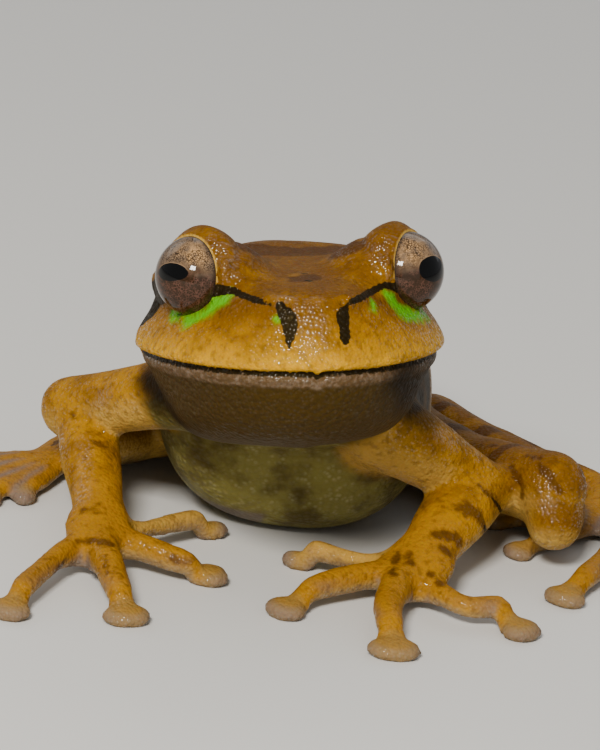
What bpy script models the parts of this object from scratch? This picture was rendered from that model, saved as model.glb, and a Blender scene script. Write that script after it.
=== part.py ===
"""Masked treefrog, life size, sitting up on the floor: one closed solid for each named part of the body.

Sizes are in millimetres. The frog faces -Y, its left side is +X, and the floor is z = 0.
"""

import math

import bmesh
import bpy
from mathutils import Matrix, Vector
from mathutils.bvhtree import BVHTree

MM = 0.001                    # one millimetre in metres
GAP = 0.3                     # clear space between two parts that meet
CENTRE = (-0.099, 28.081)     # floor point under the middle of the frog, which becomes the origin

# Head: its own frame has the middle of the eyes as origin, y to the nape and z up.
HEAD_AT = (-0.9, 8.3, 25.7)
HEAD_PITCH = 13.0             # snout up
HEAD_ROLL = 5.7               # left side up
HEAD_YAW = 9.0                # turned to the left
NECK_Y = 10.4                 # plane where head and torso part
JAW_Y = 7.4                   # where the jaw is widest
EYE_X = 7.75
EYE_RADIUS = 3.05
EYE_TURN = 50.0               # eye opening, degrees out from straight ahead
LID_OFFSET = 0.45             # opening's plane in front of the eye's centre
LID_THICK = 0.8
NOSTRIL = (2.1, -7.75, -1.5)
TYMPANUM = (11.0, 6.4, -1.6)
TYMPANUM_RADIUS = 1.45
BROW_SLOPE = ((6.2, 0.9, 0.3), (4.0, 4.4, 2.5))     # centre and radii of the swelling behind an eye
TEMPLE = ((8.2, 4.2, -0.6), (2.6, 4.2, 2.4))        # centre and radii of the swelling below it
CANTHUS = ((6.6, -2.2, -0.4), (5.2, -4.6, -0.75), (3.6, -6.4, -1.1), (2.4, -7.4, -1.35))
CANTHUS_RADII = (1.1, 1.1, 0.95, 0.7)
CANTHUS_RISE = 0.3            # how far the ridge stands out from the snout
FOLD = ((9.6, 2.6, 1.4), (10.6, 4.8, 1.2), (11.2, 7.4, 0.3), (11.4, 9.2, -1.6), (11.0, 9.9, -3.2))
FOLD_RADII = (0.5, 0.6, 0.6, 0.5, 0.35)
NOSTRIL_RIM = (0.75, 0.6, 0.5)

# Rows of the head from throat to crown: front y, z in front, z at the neck, half width, half width at neck.
HEAD_ROWS = (
    (-1.2, -12.9, -14.2, 0.0, 0.0),
    (-4.4, -12.0, -13.4, 6.2, 6.0),
    (-6.5, -10.6, -11.7, 8.7, 8.3),
    (-7.8, -8.9, -9.0, 9.9, 9.4),
    (-8.3, -7.7, -7.2, 10.7, 9.8),
    (-8.55, -7.1, -6.4, 11.2, 10.0),
    (-8.5, -6.8, -6.05, 11.2, 10.0),
    (-8.0, -6.6, -5.85, 10.7, 10.0),
    (-8.75, -6.4, -5.6, 11.55, 10.1),
    (-8.95, -5.6, -4.7, 11.65, 10.1),
    (-8.85, -4.3, -3.3, 10.8, 9.9),
    (-8.55, -2.8, -1.5, 9.4, 9.2),
    (-7.9, -1.5, 0.5, 8.2, 8.2),
    (-6.8, -0.8, 1.6, 5.4, 5.6),
    (-5.4, -0.45, 2.0, 0.0, 0.0),
)
JAW_TURNS = 9                 # columns from snout to widest jaw, each side
NECK_TURNS = 2                # columns from there to the neck

# Trunk sections from neck to vent: y and z of the back, y and z of the belly, half width, middle x.
TRUNK = (
    (21.6, 24.4, 16.4, 9.2, 10.0, -1.5),
    (25.5, 23.2, 17.8, 5.6, 10.3, -0.9),
    (29.5, 21.7, 19.8, 2.2, 10.6, -0.4),
    (34.0, 19.9, 23.6, 0.1, 10.8, 0.0),
    (38.5, 18.0, 30.0, -0.5, 10.5, 0.2),
    (43.0, 16.0, 37.5, -0.4, 9.6, 0.4),
    (47.5, 13.6, 44.5, 0.2, 8.3, 0.5),
    (51.5, 11.4, 50.0, 1.2, 6.8, 0.6),
    (55.0, 9.6, 54.6, 2.4, 5.4, 0.7),
    (57.8, 8.1, 57.8, 3.6, 3.8, 0.8),
)
VENT = (0.9, 59.8, 5.6)
TRUNK_SQUARE = 0.86           # below 1 fills the corners of a section
BELLY_SAG = 0.07              # share by which a section is wider low down

# Limbs: stations of x, y, z, half width and half height.
LIMBS = {
    "left": {
        "upper_arm": (
            (6.4, 17.6, 11.4, 3.3, 3.3), (9.5, 18.9, 9.8, 2.9, 3.0), (12.6, 21.0, 7.6, 2.4, 2.5),
            (15.2, 22.7, 5.7, 2.3, 2.4),
        ),
        "forearm": (
            (15.4, 22.4, 5.6, 2.4, 2.4), (13.8, 19.2, 5.0, 2.8, 2.6),
            (12.5, 16.2, 4.1, 2.6, 2.3), (11.7, 14.2, 3.4, 2.4, 2.0),
        ),
        "hand": (
            (11.5, 13.8, 3.3, 2.4, 1.9), (10.9, 12.0, 2.7, 3.0, 1.75),
            (10.2, 10.4, 2.2, 2.9, 1.45),
        ),
        "thigh": (
            (4.8, 48.0, 5.0, 4.2, 4.2), (8.8, 40.6, 3.5, 3.7, 3.3), (13.4, 34.0, 3.7, 3.3, 3.0),
            (17.7, 27.7, 5.0, 3.0, 2.9), (21.0, 22.3, 6.4, 2.8, 3.1),
        ),
        "shank": (
            (21.4, 21.0, 4.0, 2.3, 2.3), (21.8, 27.8, 3.2, 2.3, 2.4),
            (20.0, 35.2, 2.8, 2.3, 2.3), (15.7, 42.8, 2.5, 2.0, 2.1),
            (10.9, 50.2, 2.4, 1.8, 1.8),
        ),
        "tarsus": (
            (11.8, 52.4, 2.2, 1.7, 1.6), (15.8, 48.0, 1.8, 1.5, 1.4),
            (20.8, 42.6, 1.6, 1.4, 1.3), (26.0, 38.2, 1.6, 1.6, 1.3),
        ),
        "foot": (
            (26.4, 37.6, 1.6, 1.8, 1.3), (26.9, 34.4, 1.5, 2.5, 1.2),
            (26.5, 31.8, 1.5, 2.5, 1.0),
        ),
    },
    "right": {
        "upper_arm": (
            (-7.0, 14.6, 13.4, 3.0, 3.1), (-10.6, 17.6, 11.8, 2.6, 2.7),
            (-14.6, 21.2, 9.5, 2.4, 2.5), (-17.9, 24.4, 7.5, 2.4, 2.6),
        ),
        "forearm": (
            (-16.5, 23.2, 7.2, 2.3, 2.3), (-15.7, 19.4, 5.9, 2.4, 2.3), (-14.8, 15.9, 4.6, 2.2, 2.1),
            (-14.2, 13.2, 3.6, 2.1, 1.8),
        ),
        "hand": (
            (-14.1, 12.8, 3.5, 2.2, 1.8), (-14.0, 10.9, 2.9, 2.7, 1.6), (-13.8, 9.2, 2.3, 2.6, 1.3),
        ),
        "thigh": (
            (-3.4, 48.8, 5.2, 4.2, 4.2), (-7.0, 41.6, 4.0, 3.8, 3.5),
            (-11.2, 33.6, 4.2, 3.1, 3.1), (-15.2, 26.8, 5.0, 2.8, 2.9),
        ),
        "shank": (
            (-16.4, 26.0, 4.0, 2.2, 2.1), (-16.9, 31.5, 4.3, 2.1, 2.0),
            (-14.6, 39.0, 4.2, 2.1, 2.0), (-11.4, 46.2, 3.5, 2.0, 2.0),
            (-8.0, 52.4, 2.9, 1.8, 1.8),
        ),
        "tarsus": (
            (-8.6, 54.8, 2.3, 1.7, 1.5), (-13.0, 49.6, 1.7, 1.5, 1.3),
            (-15.9, 43.4, 1.4, 1.4, 1.2), (-17.2, 36.8, 1.25, 1.6, 1.15),
        ),
        "foot": (
            (-17.3, 35.9, 1.25, 1.8, 1.15), (-18.2, 31.8, 1.2, 2.3, 1.1),
            (-19.8, 28.2, 1.2, 2.4, 0.95),
        ),
    },
}

# Fingers and toes: joints of x, y, z, half thickness, then the pad's x, y, half width and half length.
DIGITS = {
    "left": {
        "finger_1": (
            (9.4, 12.6, 2.3, 1.0), (6.6, 13.0, 1.9, 0.85), (4.6, 13.9, 1.7, 0.8),
            (3.0, 14.4, 1.8, 0.85), (1.7, 15.0, 1.05, 1.3),
        ),
        "finger_2": (
            (9.2, 11.2, 2.2, 1.2), (6.4, 9.6, 1.9, 1.15), (4.2, 8.0, 1.7, 1.05),
            (2.9, 6.8, 1.5, 0.95), (1.3, 4.9, 1.7, 1.75),
        ),
        "finger_3": (
            (9.8, 10.6, 2.3, 1.35), (9.1, 7.4, 2.1, 1.3), (8.7, 4.4, 1.8, 1.15),
            (8.9, 2.0, 1.5, 1.05), (9.3, -0.4, 2.1, 1.75),
        ),
        "finger_4": (
            (11.4, 11.0, 2.2, 1.15), (12.8, 8.4, 1.8, 1.0), (14.8, 7.2, 1.5, 0.85),
            (17.0, 7.9, 1.5, 0.9), (18.7, 6.4, 1.7, 1.7),
        ),
        "toe_1": (
            (25.4, 33.0, 1.5, 1.0), (23.6, 32.8, 1.2, 0.8), (21.6, 32.9, 1.0, 0.75),
            (19.8, 33.4, 0.95, 0.75), (18.3, 33.9, 1.0, 1.2),
        ),
        "toe_2": (
            (25.8, 32.2, 1.5, 1.0), (23.6, 30.8, 1.2, 0.8), (21.4, 30.1, 1.0, 0.75),
            (19.2, 29.8, 0.95, 0.8), (17.4, 29.6, 1.3, 1.4),
        ),
        "toe_3": (
            (26.2, 31.8, 1.5, 1.0), (24.4, 28.9, 1.2, 0.85), (22.4, 26.6, 1.0, 0.8),
            (20.8, 25.0, 0.95, 0.85), (19.3, 23.5, 1.4, 1.4),
        ),
        "toe_4": (
            (26.8, 31.6, 1.5, 1.1), (27.0, 26.8, 1.4, 1.0), (26.0, 21.8, 1.4, 1.0),
            (24.2, 17.4, 1.3, 1.0), (22.7, 14.6, 1.8, 1.6),
        ),
        "toe_5": (
            (27.6, 32.2, 1.5, 1.1), (29.0, 28.4, 1.3, 0.9), (29.7, 24.6, 1.2, 0.85),
            (29.5, 21.2, 1.1, 0.85), (29.2, 18.9, 1.6, 1.5),
        ),
    },
    "right": {
        "finger_1": (
            (-12.8, 11.4, 2.4, 1.0), (-10.7, 13.6, 2.1, 0.85), (-8.7, 16.0, 1.9, 0.8),
            (-7.0, 17.8, 1.8, 0.85), (-5.5, 19.3, 1.1, 1.4),
        ),
        "finger_2": (
            (-12.9, 10.2, 2.4, 1.2), (-10.4, 9.7, 2.1, 1.15), (-8.4, 9.2, 1.8, 1.05),
            (-7.0, 8.9, 1.6, 0.95), (-5.3, 9.5, 1.7, 1.65),
        ),
        "finger_3": (
            (-13.6, 9.4, 2.5, 1.3), (-12.8, 6.2, 2.2, 1.25), (-12.0, 3.4, 1.8, 1.1),
            (-11.4, 1.6, 1.5, 1.0), (-10.7, -0.3, 1.9, 1.6),
        ),
        "finger_4": (
            (-14.7, 9.6, 2.4, 1.15), (-16.2, 6.9, 2.0, 1.0), (-17.4, 3.4, 1.7, 0.85),
            (-18.4, 0.2, 1.5, 0.9), (-19.0, -1.9, 1.65, 1.6),
        ),
        "toe_1": (
            (-18.6, 28.6, 1.2, 0.95), (-18.9, 26.6, 1.1, 0.8), (-19.4, 25.0, 1.0, 0.75),
            (-20.0, 23.7, 0.95, 0.75), (-20.5, 22.2, 1.0, 1.2),
        ),
        "toe_2": (
            (-19.3, 27.7, 1.2, 1.0), (-20.4, 25.6, 1.1, 0.8), (-21.4, 23.8, 1.0, 0.75),
            (-22.4, 22.2, 0.95, 0.8), (-23.3, 20.7, 1.3, 1.4),
        ),
        "toe_3": (
            (-20.2, 27.3, 1.2, 1.0), (-22.1, 25.2, 1.1, 0.85), (-23.9, 23.3, 1.0, 0.8),
            (-25.4, 21.6, 0.95, 0.85), (-26.6, 20.1, 1.5, 1.5),
        ),
        "toe_4": (
            (-20.8, 27.7, 1.2, 1.05), (-23.3, 26.3, 1.15, 0.95), (-25.8, 24.5, 1.1, 0.9),
            (-27.9, 22.6, 1.05, 0.9), (-29.2, 21.1, 1.7, 1.6),
        ),
        "toe_5": (
            (-20.9, 28.7, 1.2, 1.05), (-23.3, 28.3, 1.15, 0.9), (-25.7, 27.4, 1.05, 0.85),
            (-27.7, 26.2, 1.0, 0.85), (-29.3, 25.1, 1.5, 1.5),
        ),
    },
}
PAD_CENTRE_Z = 0.5            # pads lie flat on the floor
PAD_HALF_HEIGHT = 0.8
LIMB_SIDES = 12
DIGIT_SIDES = 8
STEPS = 2                     # rings worked out from one station to the next

# Lengths of the limbs, the lengths that each is trimmed clear of, and its finish.
LENGTHS = (
    ("upper_arm", (), "bronze"),
    ("forearm", ("upper_arm",), "barred"),
    ("hand", ("forearm",), "digit"),
    ("thigh", ("upper_arm", "forearm"), "barred"),
    ("shank", ("thigh", "forearm"), "barred"),
    ("tarsus", ("shank",), "barred"),
    ("foot", ("tarsus", "shank"), "digit"),
)
ROOTED = ("upper_arm", "thigh")    # these grow from the torso

# Webs: two neighbouring digits and how far along them the web reaches, 1 being the last joint.
WEBS = {
    "hand": (("finger_2", "finger_3", 0.3), ("finger_3", "finger_4", 0.5)),
    "foot": (("toe_1", "toe_2", 0.5), ("toe_2", "toe_3", 0.55), ("toe_3", "toe_4", 0.6),
             ("toe_4", "toe_5", 0.75)),
}
KEEPERS = {                   # the neighbour that each digit makes way for, which also keeps their web
    "finger": {"finger_1": "finger_2", "finger_2": "finger_3", "finger_4": "finger_3"},
    "toe": {"toe_1": "toe_2", "toe_2": "toe_3", "toe_3": "toe_4", "toe_5": "toe_4"},
}
WEB_Z = 1.0
WEB_THICK = 0.55
WEB_HOLLOW = 0.55             # how deep the free edge of a web curves in
WEB_ROWS = 7
WEB_COLUMNS = 5

COLOURS = {                   # colour, roughness
    "bronze": ((0.47, 0.22, 0.03), 0.4),
    "belly": ((0.28, 0.24, 0.09), 0.5),
    "barred": ((0.42, 0.20, 0.04), 0.4),
    "digit": ((0.46, 0.27, 0.09), 0.45),
    "iris": ((0.07, 0.035, 0.02), 0.08),
}


def clear_scene():
    for old in list(bpy.data.objects):
        bpy.data.objects.remove(old, do_unlink=True)


def material(name):
    colour, roughness = COLOURS[name]
    made = bpy.data.materials.get(name) or bpy.data.materials.new(name)
    made.use_nodes = True
    shader = made.node_tree.nodes["Principled BSDF"]
    shader.inputs["Base Color"].default_value = (*colour, 1.0)
    shader.inputs["Roughness"].default_value = roughness
    shader.inputs["Metallic"].default_value = 0.0
    return made


def place(point):
    """Point in the frog's millimetres to metres about the origin."""
    return Vector(((point[0] - CENTRE[0]) * MM, (point[1] - CENTRE[1]) * MM, point[2] * MM))


def solid(name, points, faces):
    """Closed mesh object from points in millimetres; points that coincide become one."""
    mesh = bpy.data.meshes.new(name)
    made = bpy.data.objects.new(name, mesh)
    bpy.context.scene.collection.objects.link(made)
    grid = bmesh.new()
    known = {}
    corners = []
    for point in points:
        key = tuple(round(value, 4) for value in point)
        if key not in known:
            known[key] = grid.verts.new(place(point))
        corners.append(known[key])
    for face in faces:
        ring = list(dict.fromkeys(corners[i] for i in face))
        if len(ring) > 2:
            grid.faces.new(ring)
    bmesh.ops.recalc_face_normals(grid, faces=grid.faces)
    bmesh.ops.triangulate(grid, faces=[f for f in grid.faces if len(f.verts) > 4])
    grid.to_mesh(mesh)
    grid.free()
    return made


def smooth_path(stations, steps):
    """Catmull-Rom curve through stations of any number of values, ends kept."""
    ends = [[2 * a - b for a, b in zip(stations[0], stations[1])],
            [2 * a - b for a, b in zip(stations[-1], stations[-2])]]
    knots = [ends[0], *stations, ends[1]]
    curve = []
    for i in range(1, len(knots) - 2):
        for step in range(steps):
            t = step / steps
            curve.append([0.5 * (2 * b + (c - a) * t + (2 * a - 5 * b + 4 * c - d) * t * t
                                 + (3 * b - a - 3 * c + d) * t ** 3)
                          for a, b, c, d in zip(*knots[i - 1:i + 3])])
    curve.append(list(stations[-1]))
    return curve


def tube(name, stations, sides, grow=0.0, steps=STEPS):
    """Round-ended limb of elliptical sections square to its path; nothing of it goes below the floor."""
    path = smooth_path(stations, steps)
    centres = [Vector(s[:3]) for s in path]
    rings = []
    last = len(path) - 1
    for i, (centre, station) in enumerate(zip(centres, path)):
        along = (centres[min(i + 1, last)] - centres[max(i - 1, 0)]).normalized()
        side = along.cross(Vector((0, 0, 1))).normalized()
        lift = side.cross(along)
        wide = station[3] + grow
        high = station[4] + grow
        ends = ()
        if i == 0:
            ends = [(-math.cos(a), math.sin(a)) for a in (0.4, 0.95)]
        if i == last:
            ends = [(math.cos(a), math.sin(a)) for a in (0.95, 0.4)]
        sections = [(0.0, 1.0)]
        if i == 0:
            sections = ends + sections
        if i == last:
            sections = sections + list(ends)
        for push, shrink in sections:
            middle = centre + along * (push * min(wide, high))
            rings.append([middle + side * (wide * shrink * math.cos(a)) + lift * (high * shrink * math.sin(a))
                          for a in (2 * math.pi * k / sides for k in range(sides))])
        if i == 0:
            start = centre - along * min(wide, high)
        if i == last:
            tip = centre + along * min(wide, high)
    return ringed(name, rings, start, tip, floor=-grow)


def ringed(name, rings, start, tip, floor=0.0):
    """Skin over a row of rings, closed by a point at each end; points below the floor are laid on it."""
    count = len(rings[0])
    points = [p for ring in rings for p in ring] + [start, tip]
    faces = []
    for r in range(len(rings) - 1):
        for k in range(count):
            a = r * count + k
            b = r * count + (k + 1) % count
            faces.append((a, b, b + count, a + count))
    first = len(points) - 2
    last_ring = (len(rings) - 1) * count
    for k in range(count):
        faces.append((first, (k + 1) % count, k))
        faces.append((first + 1, last_ring + k, last_ring + (k + 1) % count))
    flat = [(p[0], p[1], max(p[2], floor)) for p in points]
    return solid(name, flat, faces)


def is_closed(mesh):
    """True where a mesh has faces and each edge joins two of them."""
    grid = bmesh.new()
    grid.from_mesh(mesh)
    closed = bool(grid.faces) and all(len(edge.link_faces) == 2 for edge in grid.edges)
    grid.free()
    return closed


def keep_largest(target):
    """Leaves only the largest connected surface of a mesh."""
    grid = bmesh.new()
    grid.from_mesh(target.data)
    left = set(grid.verts)
    shells = []
    while left:
        seed = left.pop()
        shell = {seed}
        edge = [seed]
        while edge:
            near = [link.other_vert(v) for v in edge for link in v.link_edges]
            edge = [v for v in dict.fromkeys(near) if v not in shell]
            shell.update(edge)
        left -= shell
        shells.append(shell)
    keep = max(shells, key=len)
    loose = [v for shell in shells if shell is not keep for v in shell]
    bmesh.ops.delete(grid, geom=loose, context="VERTS")
    grid.to_mesh(target.data)
    grid.free()


def combine(target, others, operation):
    """One Boolean of a target with a collection of closed objects, applied, the others then removed."""
    group = bpy.data.collections.new(target.name + "_pieces")
    for other in others:
        group.objects.link(other)
    cut = target.modifiers.new("combine", "BOOLEAN")
    cut.operation = operation
    cut.operand_type = "COLLECTION"
    cut.collection = group
    for solver in ("EXACT", "MANIFOLD"):
        cut.solver = solver
        bpy.context.view_layer.update()
        graph = bpy.context.evaluated_depsgraph_get()
        result = bpy.data.meshes.new_from_object(target.evaluated_get(graph))
        if is_closed(result):
            break
    target.modifiers.clear()
    target.data = result
    for other in others:
        bpy.data.objects.remove(other, do_unlink=True)
    bpy.data.collections.remove(group)
    keep_largest(target)


def join(target, others):
    combine(target, others, "UNION")


def carve(target, others):
    combine(target, others, "DIFFERENCE")


HEAD_FRAME = (Matrix.Translation(HEAD_AT)
              @ Matrix.Rotation(math.radians(HEAD_YAW), 4, "Z")
              @ Matrix.Rotation(math.radians(-HEAD_PITCH), 4, "X")
              @ Matrix.Rotation(math.radians(-HEAD_ROLL), 4, "Y"))


def head_column(row, turn, side):
    """Point of a head row: an ellipse quarter from snout to jaw corner, then easing to the neck."""
    front, z_front, z_back, wide, neck = row
    if turn <= JAW_TURNS:
        angle = math.radians(90.0 * turn / JAW_TURNS)
        x = wide * math.sin(angle)
        y = JAW_Y - (JAW_Y - front) * math.cos(angle)
    else:
        share = (turn - JAW_TURNS) / NECK_TURNS
        ease = 0.5 - 0.5 * math.cos(math.pi * share)
        x = wide + (neck - wide) * ease
        y = JAW_Y + (NECK_Y - JAW_Y) * share
    z = z_front + (z_back - z_front) * (y - front) / (NECK_Y - front)
    return (side * x, y, z)


def neck_loop(back=0.0):
    """Closed loop where head and torso part, from crown round the right side to throat and back."""
    turns = JAW_TURNS + NECK_TURNS
    rows = HEAD_ROWS[::-1]
    loop = [head_column(row, turns, -1) for row in rows]
    loop += [head_column(row, turns, 1) for row in HEAD_ROWS[1:-1]]
    return [HEAD_FRAME @ (Vector(p) + Vector((0, back, 0))) for p in loop]


def head_form():
    """Plain head from throat to crown with the groove of the mouth in its rows."""
    turns = JAW_TURNS + NECK_TURNS
    columns = [(turn, -1) for turn in range(turns, 0, -1)] + [(turn, 1) for turn in range(turns + 1)]
    points = []
    faces = []
    wide = len(columns)
    for row in HEAD_ROWS:
        points += [HEAD_FRAME @ Vector(head_column(row, turn, side)) for turn, side in columns]
    for r in range(len(HEAD_ROWS) - 1):
        for c in range(wide - 1):
            a = r * wide + c
            faces.append((a, a + 1, a + 1 + wide, a + wide))
    right = [r * wide for r in range(len(HEAD_ROWS))]
    left = [r * wide + wide - 1 for r in range(len(HEAD_ROWS) - 2, 0, -1)]
    faces.append(right + left)
    return solid("head", points, faces)


def ball(name, centre, radii, segments=20, rings=12, turn=None):
    """Ellipsoid in the head's frame; radii along its own x, y and z."""
    grid_points = []
    turn = turn or Matrix.Identity(3)
    for r in range(1, rings):
        tilt = math.pi * r / rings
        grid_points.append([(math.sin(tilt) * math.cos(2 * math.pi * s / segments),
                             math.sin(tilt) * math.sin(2 * math.pi * s / segments),
                             math.cos(tilt)) for s in range(segments)])

    def at(unit):
        local = turn @ Vector((unit[0] * radii[0], unit[1] * radii[1], unit[2] * radii[2]))
        return HEAD_FRAME @ (Vector(centre) + local)

    rows = [[at(u) for u in row] for row in grid_points]
    return ringed(name, rows, at((0, 0, 1)), at((0, 0, -1)), floor=-99.0)


def eye_axis(side):
    turn = math.radians(EYE_TURN)
    return Vector((side * math.sin(turn), -math.cos(turn), 0.06)).normalized()


def eye_turn(side):
    """Rotation that takes z to the eye's own axis."""
    return eye_axis(side).to_track_quat("Z", "Y").to_matrix()


def ring_rim(name, centre, axis_turn, radius, thick, segments=24, sides=6):
    """Ring of round section about an axis, in the head's frame."""
    points = []
    faces = []
    for s in range(segments):
        a = 2 * math.pi * s / segments
        for k in range(sides):
            b = 2 * math.pi * k / sides
            reach = radius + thick * math.cos(b)
            local = Vector((reach * math.cos(a), reach * math.sin(a), thick * math.sin(b)))
            points.append(HEAD_FRAME @ (Vector(centre) + axis_turn @ local))
            nxt = ((s + 1) % segments) * sides
            faces.append((s * sides + k, s * sides + (k + 1) % sides, nxt + (k + 1) % sides, nxt + k))
    return solid(name, points, faces)


def brow(side):
    """Raised skin over an eye, open where the eye looks out."""
    centre = Vector((side * EYE_X, 0.0, 0.0))
    dome = EYE_RADIUS + LID_THICK
    lid = ball("brow", centre, (dome, dome, dome))
    flat_cut(lid, centre + eye_axis(side) * LID_OFFSET, eye_axis(side))
    return lid


def flat_cut(target, local_point, local_normal):
    """Removes what lies beyond a plane of the head's frame and closes the cut."""
    grid = bmesh.new()
    grid.from_mesh(target.data)
    point = place(HEAD_FRAME @ Vector(local_point))
    normal = HEAD_FRAME.to_3x3() @ Vector(local_normal)
    cut = bmesh.ops.bisect_plane(grid, geom=grid.verts[:] + grid.edges[:] + grid.faces[:], plane_co=point,
                                 plane_no=normal, clear_outer=True)
    rim = [e for e in cut["geom_cut"] if isinstance(e, bmesh.types.BMEdge)]
    bmesh.ops.contextual_create(grid, geom=rim)
    bmesh.ops.recalc_face_normals(grid, faces=grid.faces)
    grid.to_mesh(target.data)
    grid.free()


def head_tube(name, stations, sides=7, steps=2):
    """Slim round ridge through points of the head's frame, each with its radius."""
    world = [(*(HEAD_FRAME @ Vector(s[:3])), s[3], s[3]) for s in stations]
    return tube(name, world, sides, steps=steps)


def on_surface(tree, local_point):
    """Nearest point and outward direction of the head's plain form, in the head's frame."""
    spot, normal, _, _ = tree.find_nearest(HEAD_FRAME @ Vector(local_point))
    inverse = HEAD_FRAME.inverted()
    return inverse @ spot, (inverse.to_3x3() @ normal).normalized()


def plain_tree(target):
    """Search tree of an object's surface in the frog's millimetres."""
    verts = [(v.co.x / MM + CENTRE[0], v.co.y / MM + CENTRE[1], v.co.z / MM) for v in target.data.vertices]
    return BVHTree.FromPolygons(verts, [tuple(p.vertices) for p in target.data.polygons])


def head_side(tree, side):
    """Brow, lid rim, canthal ridge, nostril rim, tympanum ring and the fold over it, for one side."""
    eye = Vector((side * EYE_X, 0.0, 0.0))
    pieces = [brow(side)]
    for name, (centre, radii) in (("brow_slope", BROW_SLOPE), ("temple", TEMPLE)):
        pieces.append(ball(name, (side * centre[0], centre[1], centre[2]), radii, 16, 9))
    pieces.append(ring_rim("lid", eye + eye_axis(side) * LID_OFFSET, eye_turn(side), EYE_RADIUS + 0.5, 0.3))
    ridge = []
    for (x, y, z), radius in zip(CANTHUS, CANTHUS_RADII):
        spot, out = on_surface(tree, (side * x, y, z))
        ridge.append((*(spot + out * (CANTHUS_RISE - radius)), radius))
    pieces.append(head_tube("canthus", ridge))
    spot, out = on_surface(tree, (side * NOSTRIL[0], NOSTRIL[1], NOSTRIL[2]))
    pieces.append(ball("nostril_rim", spot - out * 0.2, NOSTRIL_RIM, 10, 6))
    drum, out = on_surface(tree, (side * TYMPANUM[0], TYMPANUM[1], TYMPANUM[2]))
    turn = out.to_track_quat("Z", "Y").to_matrix()
    pieces.append(ring_rim("tympanum", drum + out * 0.05, turn, TYMPANUM_RADIUS, 0.3, 16, 6))
    fold = [on_surface(tree, (side * x, y, z))[0] for x, y, z in FOLD]
    pieces.append(head_tube("fold", [(*p, r) for p, r in zip(fold, FOLD_RADII)]))
    return pieces


def nostril_pit(tree, side):
    spot, out = on_surface(tree, (side * NOSTRIL[0], NOSTRIL[1], NOSTRIL[2]))
    out = Vector((side * 0.75, -0.55, 0.3)).normalized()
    return ball("pit", spot + out * 0.55, (0.26, 0.4, 0.3), 10, 8, out.to_track_quat("Z", "Y").to_matrix())


def make_head():
    head = head_form()
    tree = plain_tree(head)
    pieces = head_side(tree, 1) + head_side(tree, -1)
    join(head, pieces)
    reach = EYE_RADIUS + GAP
    cutters = [ball("socket", (side * EYE_X, 0.0, 0.0), (reach, reach, reach), 24, 14) for side in (1, -1)]
    cutters += [nostril_pit(tree, side) for side in (1, -1)]
    carve(head, cutters)
    flat_cut(head, (0, NECK_Y, 0), (0, 1, 0))
    return head


def make_eye(name, side):
    return ball(name, (side * EYE_X, 0.0, 0.0), (EYE_RADIUS, EYE_RADIUS, EYE_RADIUS), 24, 12, eye_turn(side))


def trunk_section(station, angles, grow):
    """Squared oval between a back and a belly point, wider low down."""
    y_back, z_back, y_belly, z_belly, wide, middle = station
    top = Vector((middle, y_back, z_back))
    low = Vector((middle, y_belly, z_belly))
    centre = (top + low) / 2
    high = (top - low).length / 2 + grow
    lift = (top - low).normalized()
    ring = []
    for angle in angles:
        c = math.cos(angle)
        s = math.sin(angle)
        x = math.copysign(abs(s) ** TRUNK_SQUARE, s) * (wide + grow) * (1 - BELLY_SAG * c)
        ring.append(centre + Vector((x, 0, 0)) + lift * (high * math.copysign(abs(c) ** TRUNK_SQUARE, c)))
    return ring


def torso_form(name, grow=0.0):
    """Trunk from the neck loop to the vent; grown copies are the cutters of the limbs."""
    loop = neck_loop(GAP - grow)
    centre = sum(loop, Vector()) / len(loop)
    up = (loop[0] - loop[len(HEAD_ROWS) - 1]).normalized()
    half_high = (loop[0] - loop[len(HEAD_ROWS) - 1]).length / 2
    half_wide = max(p[0] for p in loop) - centre[0]
    angles = [math.atan2((p[0] - centre[0]) / half_wide, (p - centre).dot(up) / half_high) for p in loop]
    if grow:
        loop = [p + (p - centre).normalized() * grow for p in loop]
    sections = smooth_path(TRUNK, 2)
    rings = [loop] + [trunk_section(s, angles, grow) for s in sections]
    tip = Vector(VENT) + Vector((0, grow, 0))
    return ringed(name, rings, centre, tip, floor=-grow)


def body_cutters():
    """Torso and plain head, each larger by the gap, which limbs are trimmed clear of."""
    head = head_form()
    middle = place(HEAD_FRAME @ Vector((0.0, 2.0, -5.0)))
    for vert in head.data.vertices:
        vert.co += (vert.co - middle).normalized() * (GAP * MM)
    return [torso_form("torso_cutter", GAP), head]


def limb(side, name, grow=0.0):
    return tube(name, LIMBS[side][name], LIMB_SIDES, grow)


def digit(side, name, grow=0.0):
    """Jointed finger or toe with its flattened round pad lying on the floor."""
    joints = DIGITS[side][name]
    bones = joints[:-1]
    pad_x, pad_y, pad_wide, pad_long = joints[-1]
    last = Vector(bones[-1][:3])
    pad = Vector((pad_x, pad_y, PAD_CENTRE_Z))
    ahead = Vector((pad.x - last.x, pad.y - last.y, 0)).normalized()
    stations = [(x, y, z, r, r) for x, y, z, r in bones]
    neck = last.lerp(pad, 0.35)
    stations.append((neck.x, neck.y, neck.z, bones[-1][3] * 0.95, bones[-1][3] * 0.8))
    outline = ((-0.35, 0.72, 0.95), (0.0, 0.97, 1.0), (0.4, 0.92, 0.9), (0.72, 0.68, 0.72))
    for share, wide, high in outline:
        spot = pad + ahead * (pad_long * share)
        stations.append((spot.x, spot.y, spot.z, pad_wide * wide, PAD_HALF_HEIGHT * high))
    return tube(name, stations, DIGIT_SIDES, grow, steps=1 if name.startswith("toe") else 2)


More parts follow.
